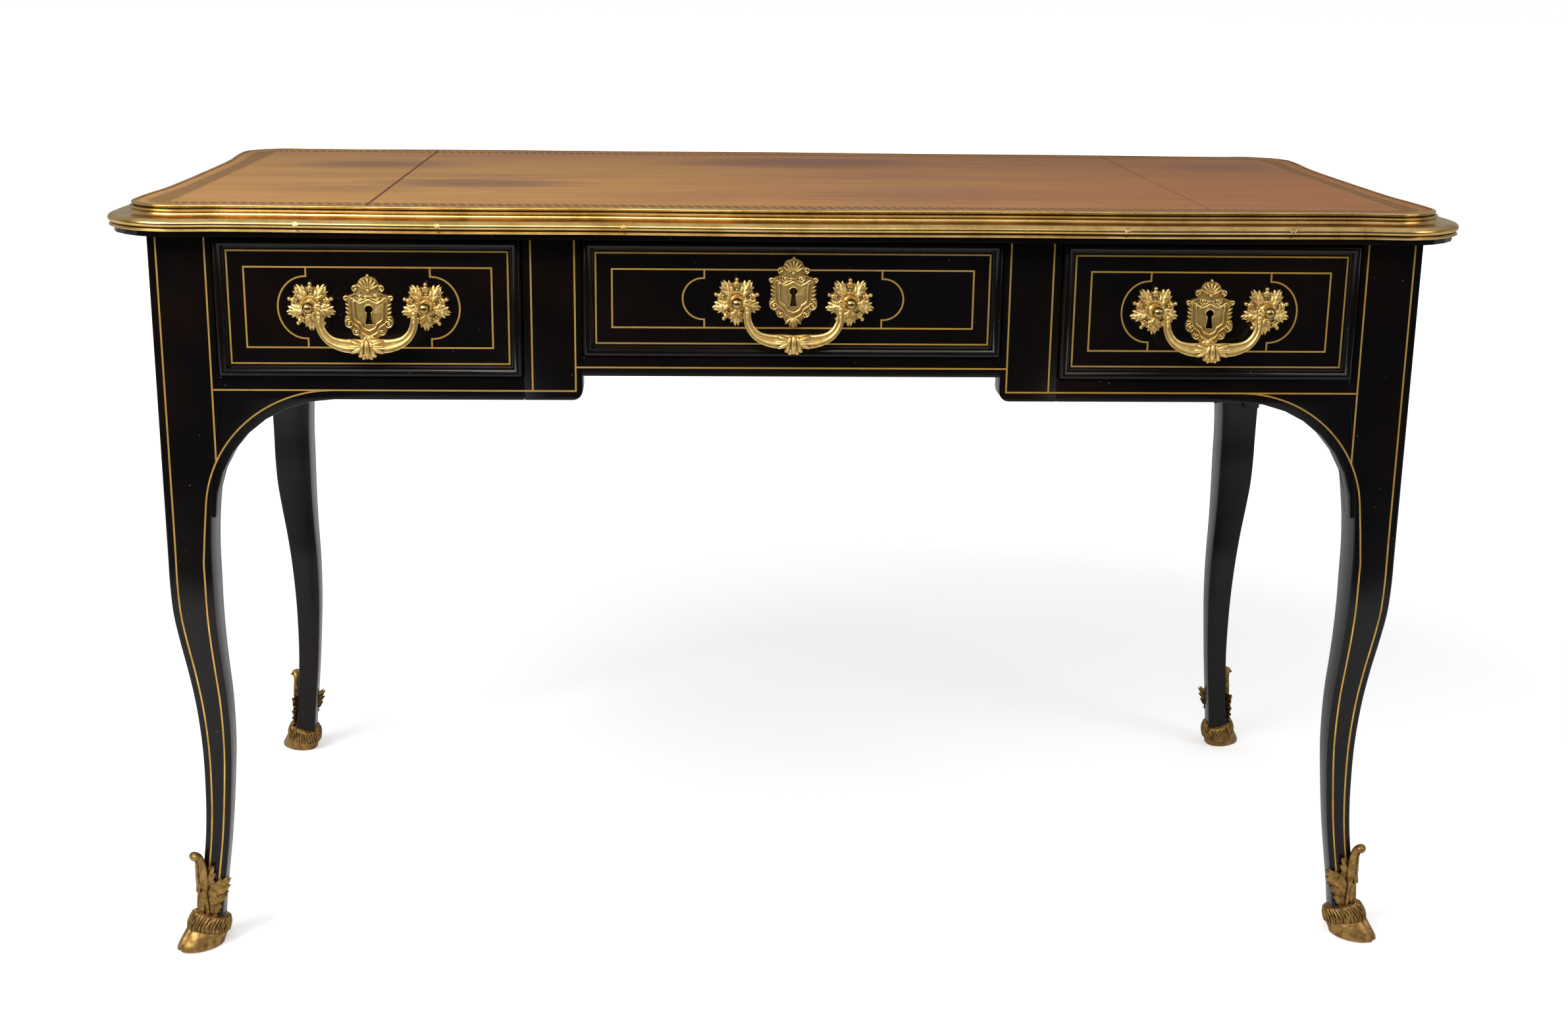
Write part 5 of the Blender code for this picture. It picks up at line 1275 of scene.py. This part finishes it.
def leaflet(foot, height, rise, length, width, teeth, on_front):
    """One lobe of the leaf, bent on to the face of the leg, with its tip curled away from the wood."""
    bm = chased_leaf(length, width, teeth, 1.9, 2.2, foot=0.28, bite_depth=0.28)
    turn = math.radians(rise)
    for vert in bm.verts:
        x, y, out = vert.co / MM
        s = foot + y * math.cos(turn) + x * math.sin(turn)
        z = height + y * math.sin(turn) - x * math.cos(turn)
        vert.co = on_leg(s, z, 1.6 + out + LEAF_CURL * (y / length) ** 3, on_front)
    return bm


for on_front in (True, False):
    join(sabot, acanthus_sheet(on_front))
    for row in LEAFLETS:
        join(sabot, leaflet(*row, on_front))
    stem = smooth_path([on_leg(s, z, 2.2, on_front) for s, z, _ in STEM], 3)
    sizes = [Vector((STEM[min(i // 3, 4)][2] * MM, 0)) for i in range(len(stem))]
    face_out = Vector((0, -1, 0)) if on_front else Vector((1, 0, 0))
    join(sabot, sweep(round_section(8), tube_stations(stem, [(r.x, r.x * 1.2) for r in sizes], face_out)))
line, sizes = [], []
for i, point in enumerate(smooth_path([Vector((d, z, 0)) for d, z in SCROLL], SCROLL_STEPS)):
    share = i / SCROLL_STEPS
    low = min(int(share), len(SCROLL_SIZE) - 2)
    size = Vector(SCROLL_SIZE[low]).lerp(Vector(SCROLL_SIZE[low + 1]), share - low) * MM
    outer = leg_row(point.y * MM)[0]
    line.append(at_corner(outer, outer, point.y * MM) + DIAGONAL * point.x * MM)
    sizes.append((size.x, size.y))
join(sabot, sweep(round_section(14), tube_stations(line, sizes, CROSSWISE)))
ROLL_TURN = math.radians(-45)
for along, down, size in ((0.2, 1.4, 4.9), (0.2, 1.4, 2.4)):
    radii = (size * MM, (11.4 - size) * MM, size * MM)
    join(sabot, pebble(line[-1] + DIAGONAL * along * MM - Vector((0, 0, down * MM)), radii, ROLL_TURN))
for i in range(BEADS):
    spot = 1.2 + 2.9 * i / (BEADS - 1)
    low = int(spot * SCROLL_STEPS)
    place = line[low].lerp(line[low + 1], spot * SCROLL_STEPS - low)
    join(sabot, pebble(place + DIAGONAL * (sizes[low][0] + 0.2 * MM), (1.25 * MM, 1.25 * MM, 1.5 * MM)))
for end, side, sx, sy in CORNERS:
    corner = end + "_" + side
    show("shoe_" + corner, mirrored(sabot, sx, sy), "desk", "shoe_bronze", shoe_bronze,
         replaces=["sabot_" + corner], smooth=42)
print("sabots:", len(CORNERS), "of", len(sabot.faces), "faces")
sabot.free()

# %% [markdown]
# ## Pieces shown as the frame has them
# Flat boards inside the carcase, drawer linings and locks are plain enough to be shown by the CAD meshes
# themselves. They only get their finish.

# %% Plain pieces
def finish_nodes(material, slot, *names):
    for name in names:
        node = frame["nodes"][name]
        node.data.materials.clear()
        node.data.materials.append(material)


finish_nodes(ebonised_wood, "ebonised_wood", "top_board")
for drawer in DRAWERS:
    linings = ("side_left", "side_right", "back", "bottom")
    finish_nodes(drawer_oak, "drawer_oak", *["drawer_" + drawer + "_" + part for part in linings])
    finish_nodes(lock_brass, "lock_brass", "lock_" + drawer + "_case")
    finish_nodes(lock_steel, "lock_steel", "lock_" + drawer + "_bolt")
print("plain pieces: board, linings and locks")

# %% [markdown]
# ## The studio
# A white sweep of paper, a large soft lamp high at the front left, a strip over the camera that draws the
# bright line along the brass, a weaker lamp at the right, and white walls behind and above. The front of
# the room is dark, which is what the polished black wood mirrors. The paper ends a little in front of the
# desk, so only the lower legs mirror it, and it glows more the farther it is, as a lit backdrop does.

# %% Studio
FLOOR_FRONT, FLOOR_BACK, FLOOR_HALF = -1.3, 40.0, 30.0
GLOW, GLOW_NEAR, GLOW_FAR = 0.42, 1.2, 3.2
ROOM_FRONT, ROOM_BACK, ROOM_ABOVE = 0.05, 0.35, 0.65


def paper_feeds(material):
    path = add(material, "LightPath")
    place = add(material, "TexCoord").outputs["Object"]
    distance = add(material, "VectorMath", {0: place}, operation="LENGTH").outputs["Value"]
    glow = add(material, "MapRange", {"Value": distance, "From Min": GLOW_NEAR, "From Max": GLOW_FAR,
                                      "To Min": GLOW, "To Max": 1.0}).outputs[0]
    lift = add(material, "Math", {0: path.outputs["Is Camera Ray"], 1: glow}, operation="MULTIPLY").outputs[0]
    return {"Emission Strength": lift}


paper = start_material("white_paper_sweep", paper_feeds, Base_Color=linear("f4f4f4"), Roughness=0.9,
                       Specular_IOR_Level=0.0, Emission_Color=(1, 1, 1, 1))
floor_mesh = bmesh.new()
bmesh.ops.create_grid(floor_mesh, x_segments=1, y_segments=1, size=1.0)
spread = Matrix.Diagonal((FLOOR_HALF, (FLOOR_BACK - FLOOR_FRONT) / 2, 1, 1))
bmesh.ops.transform(floor_mesh, verts=floor_mesh.verts,
                    matrix=Matrix.Translation((0, (FLOOR_BACK + FLOOR_FRONT) / 2, -0.2 * MM)) @ spread)
floor_data = bpy.data.meshes.new("paper_sweep")
floor_mesh.to_mesh(floor_data)
floor_mesh.free()
floor_data.materials.append(paper)
floor = bpy.data.objects.new("paper_sweep", floor_data)
bpy.context.scene.collection.objects.link(floor)

room = bpy.data.worlds.new("studio_room")
room.use_nodes = True
bpy.context.scene.world = room
background = room.node_tree.nodes["Background"]
way_out = add(room, "SeparateXYZ", {"Vector": add(room, "TexCoord").outputs["Generated"]})
depth = add(room, "MapRange", {"Value": way_out.outputs["Y"], "From Min": -0.35, "From Max": 0.35,
                               "To Min": ROOM_FRONT, "To Max": ROOM_BACK}).outputs[0]
overhead = add(room, "MapRange", {"Value": way_out.outputs["Z"], "From Min": 0.25, "From Max": 0.75,
                                  "To Min": 0.0, "To Max": ROOM_ABOVE}).outputs[0]
walls = add(room, "Math", {0: depth, 1: overhead}, operation="MAXIMUM").outputs[0]
rays = add(room, "LightPath")
seen = add(room, "Math", {0: rays.outputs["Is Camera Ray"], 1: walls}, operation="MAXIMUM").outputs[0]
room.node_tree.links.new(seen, background.inputs["Strength"])
background.inputs["Color"].default_value = (1, 1, 1, 1)


def soft_box(name, place, target, size, power):
    lamp = bpy.data.lights.new(name, "AREA")
    lamp.shape = "RECTANGLE"
    lamp.size, lamp.size_y = size
    lamp.energy = power
    holder = bpy.data.objects.new(name, lamp)
    holder.location = place
    holder.rotation_euler = (Vector(target) - Vector(place)).to_track_quat("-Z", "Y").to_euler()
    holder.visible_camera = False
    bpy.context.scene.collection.objects.link(holder)


soft_box("key", (-2.3, -2.0, 2.5), (0.0, 0.0, 0.5), (1.8, 1.8), 72)
soft_box("strip", (-0.6, -2.3, 2.2), (0.0, 0.0, 0.6), (2.2, 0.7), 24)
soft_box("fill", (2.6, -1.8, 1.8), (0.0, 0.0, 0.5), (1.2, 1.8), 18)
print("studio: key, strip and fill lamps, paper from y =", FLOOR_FRONT)
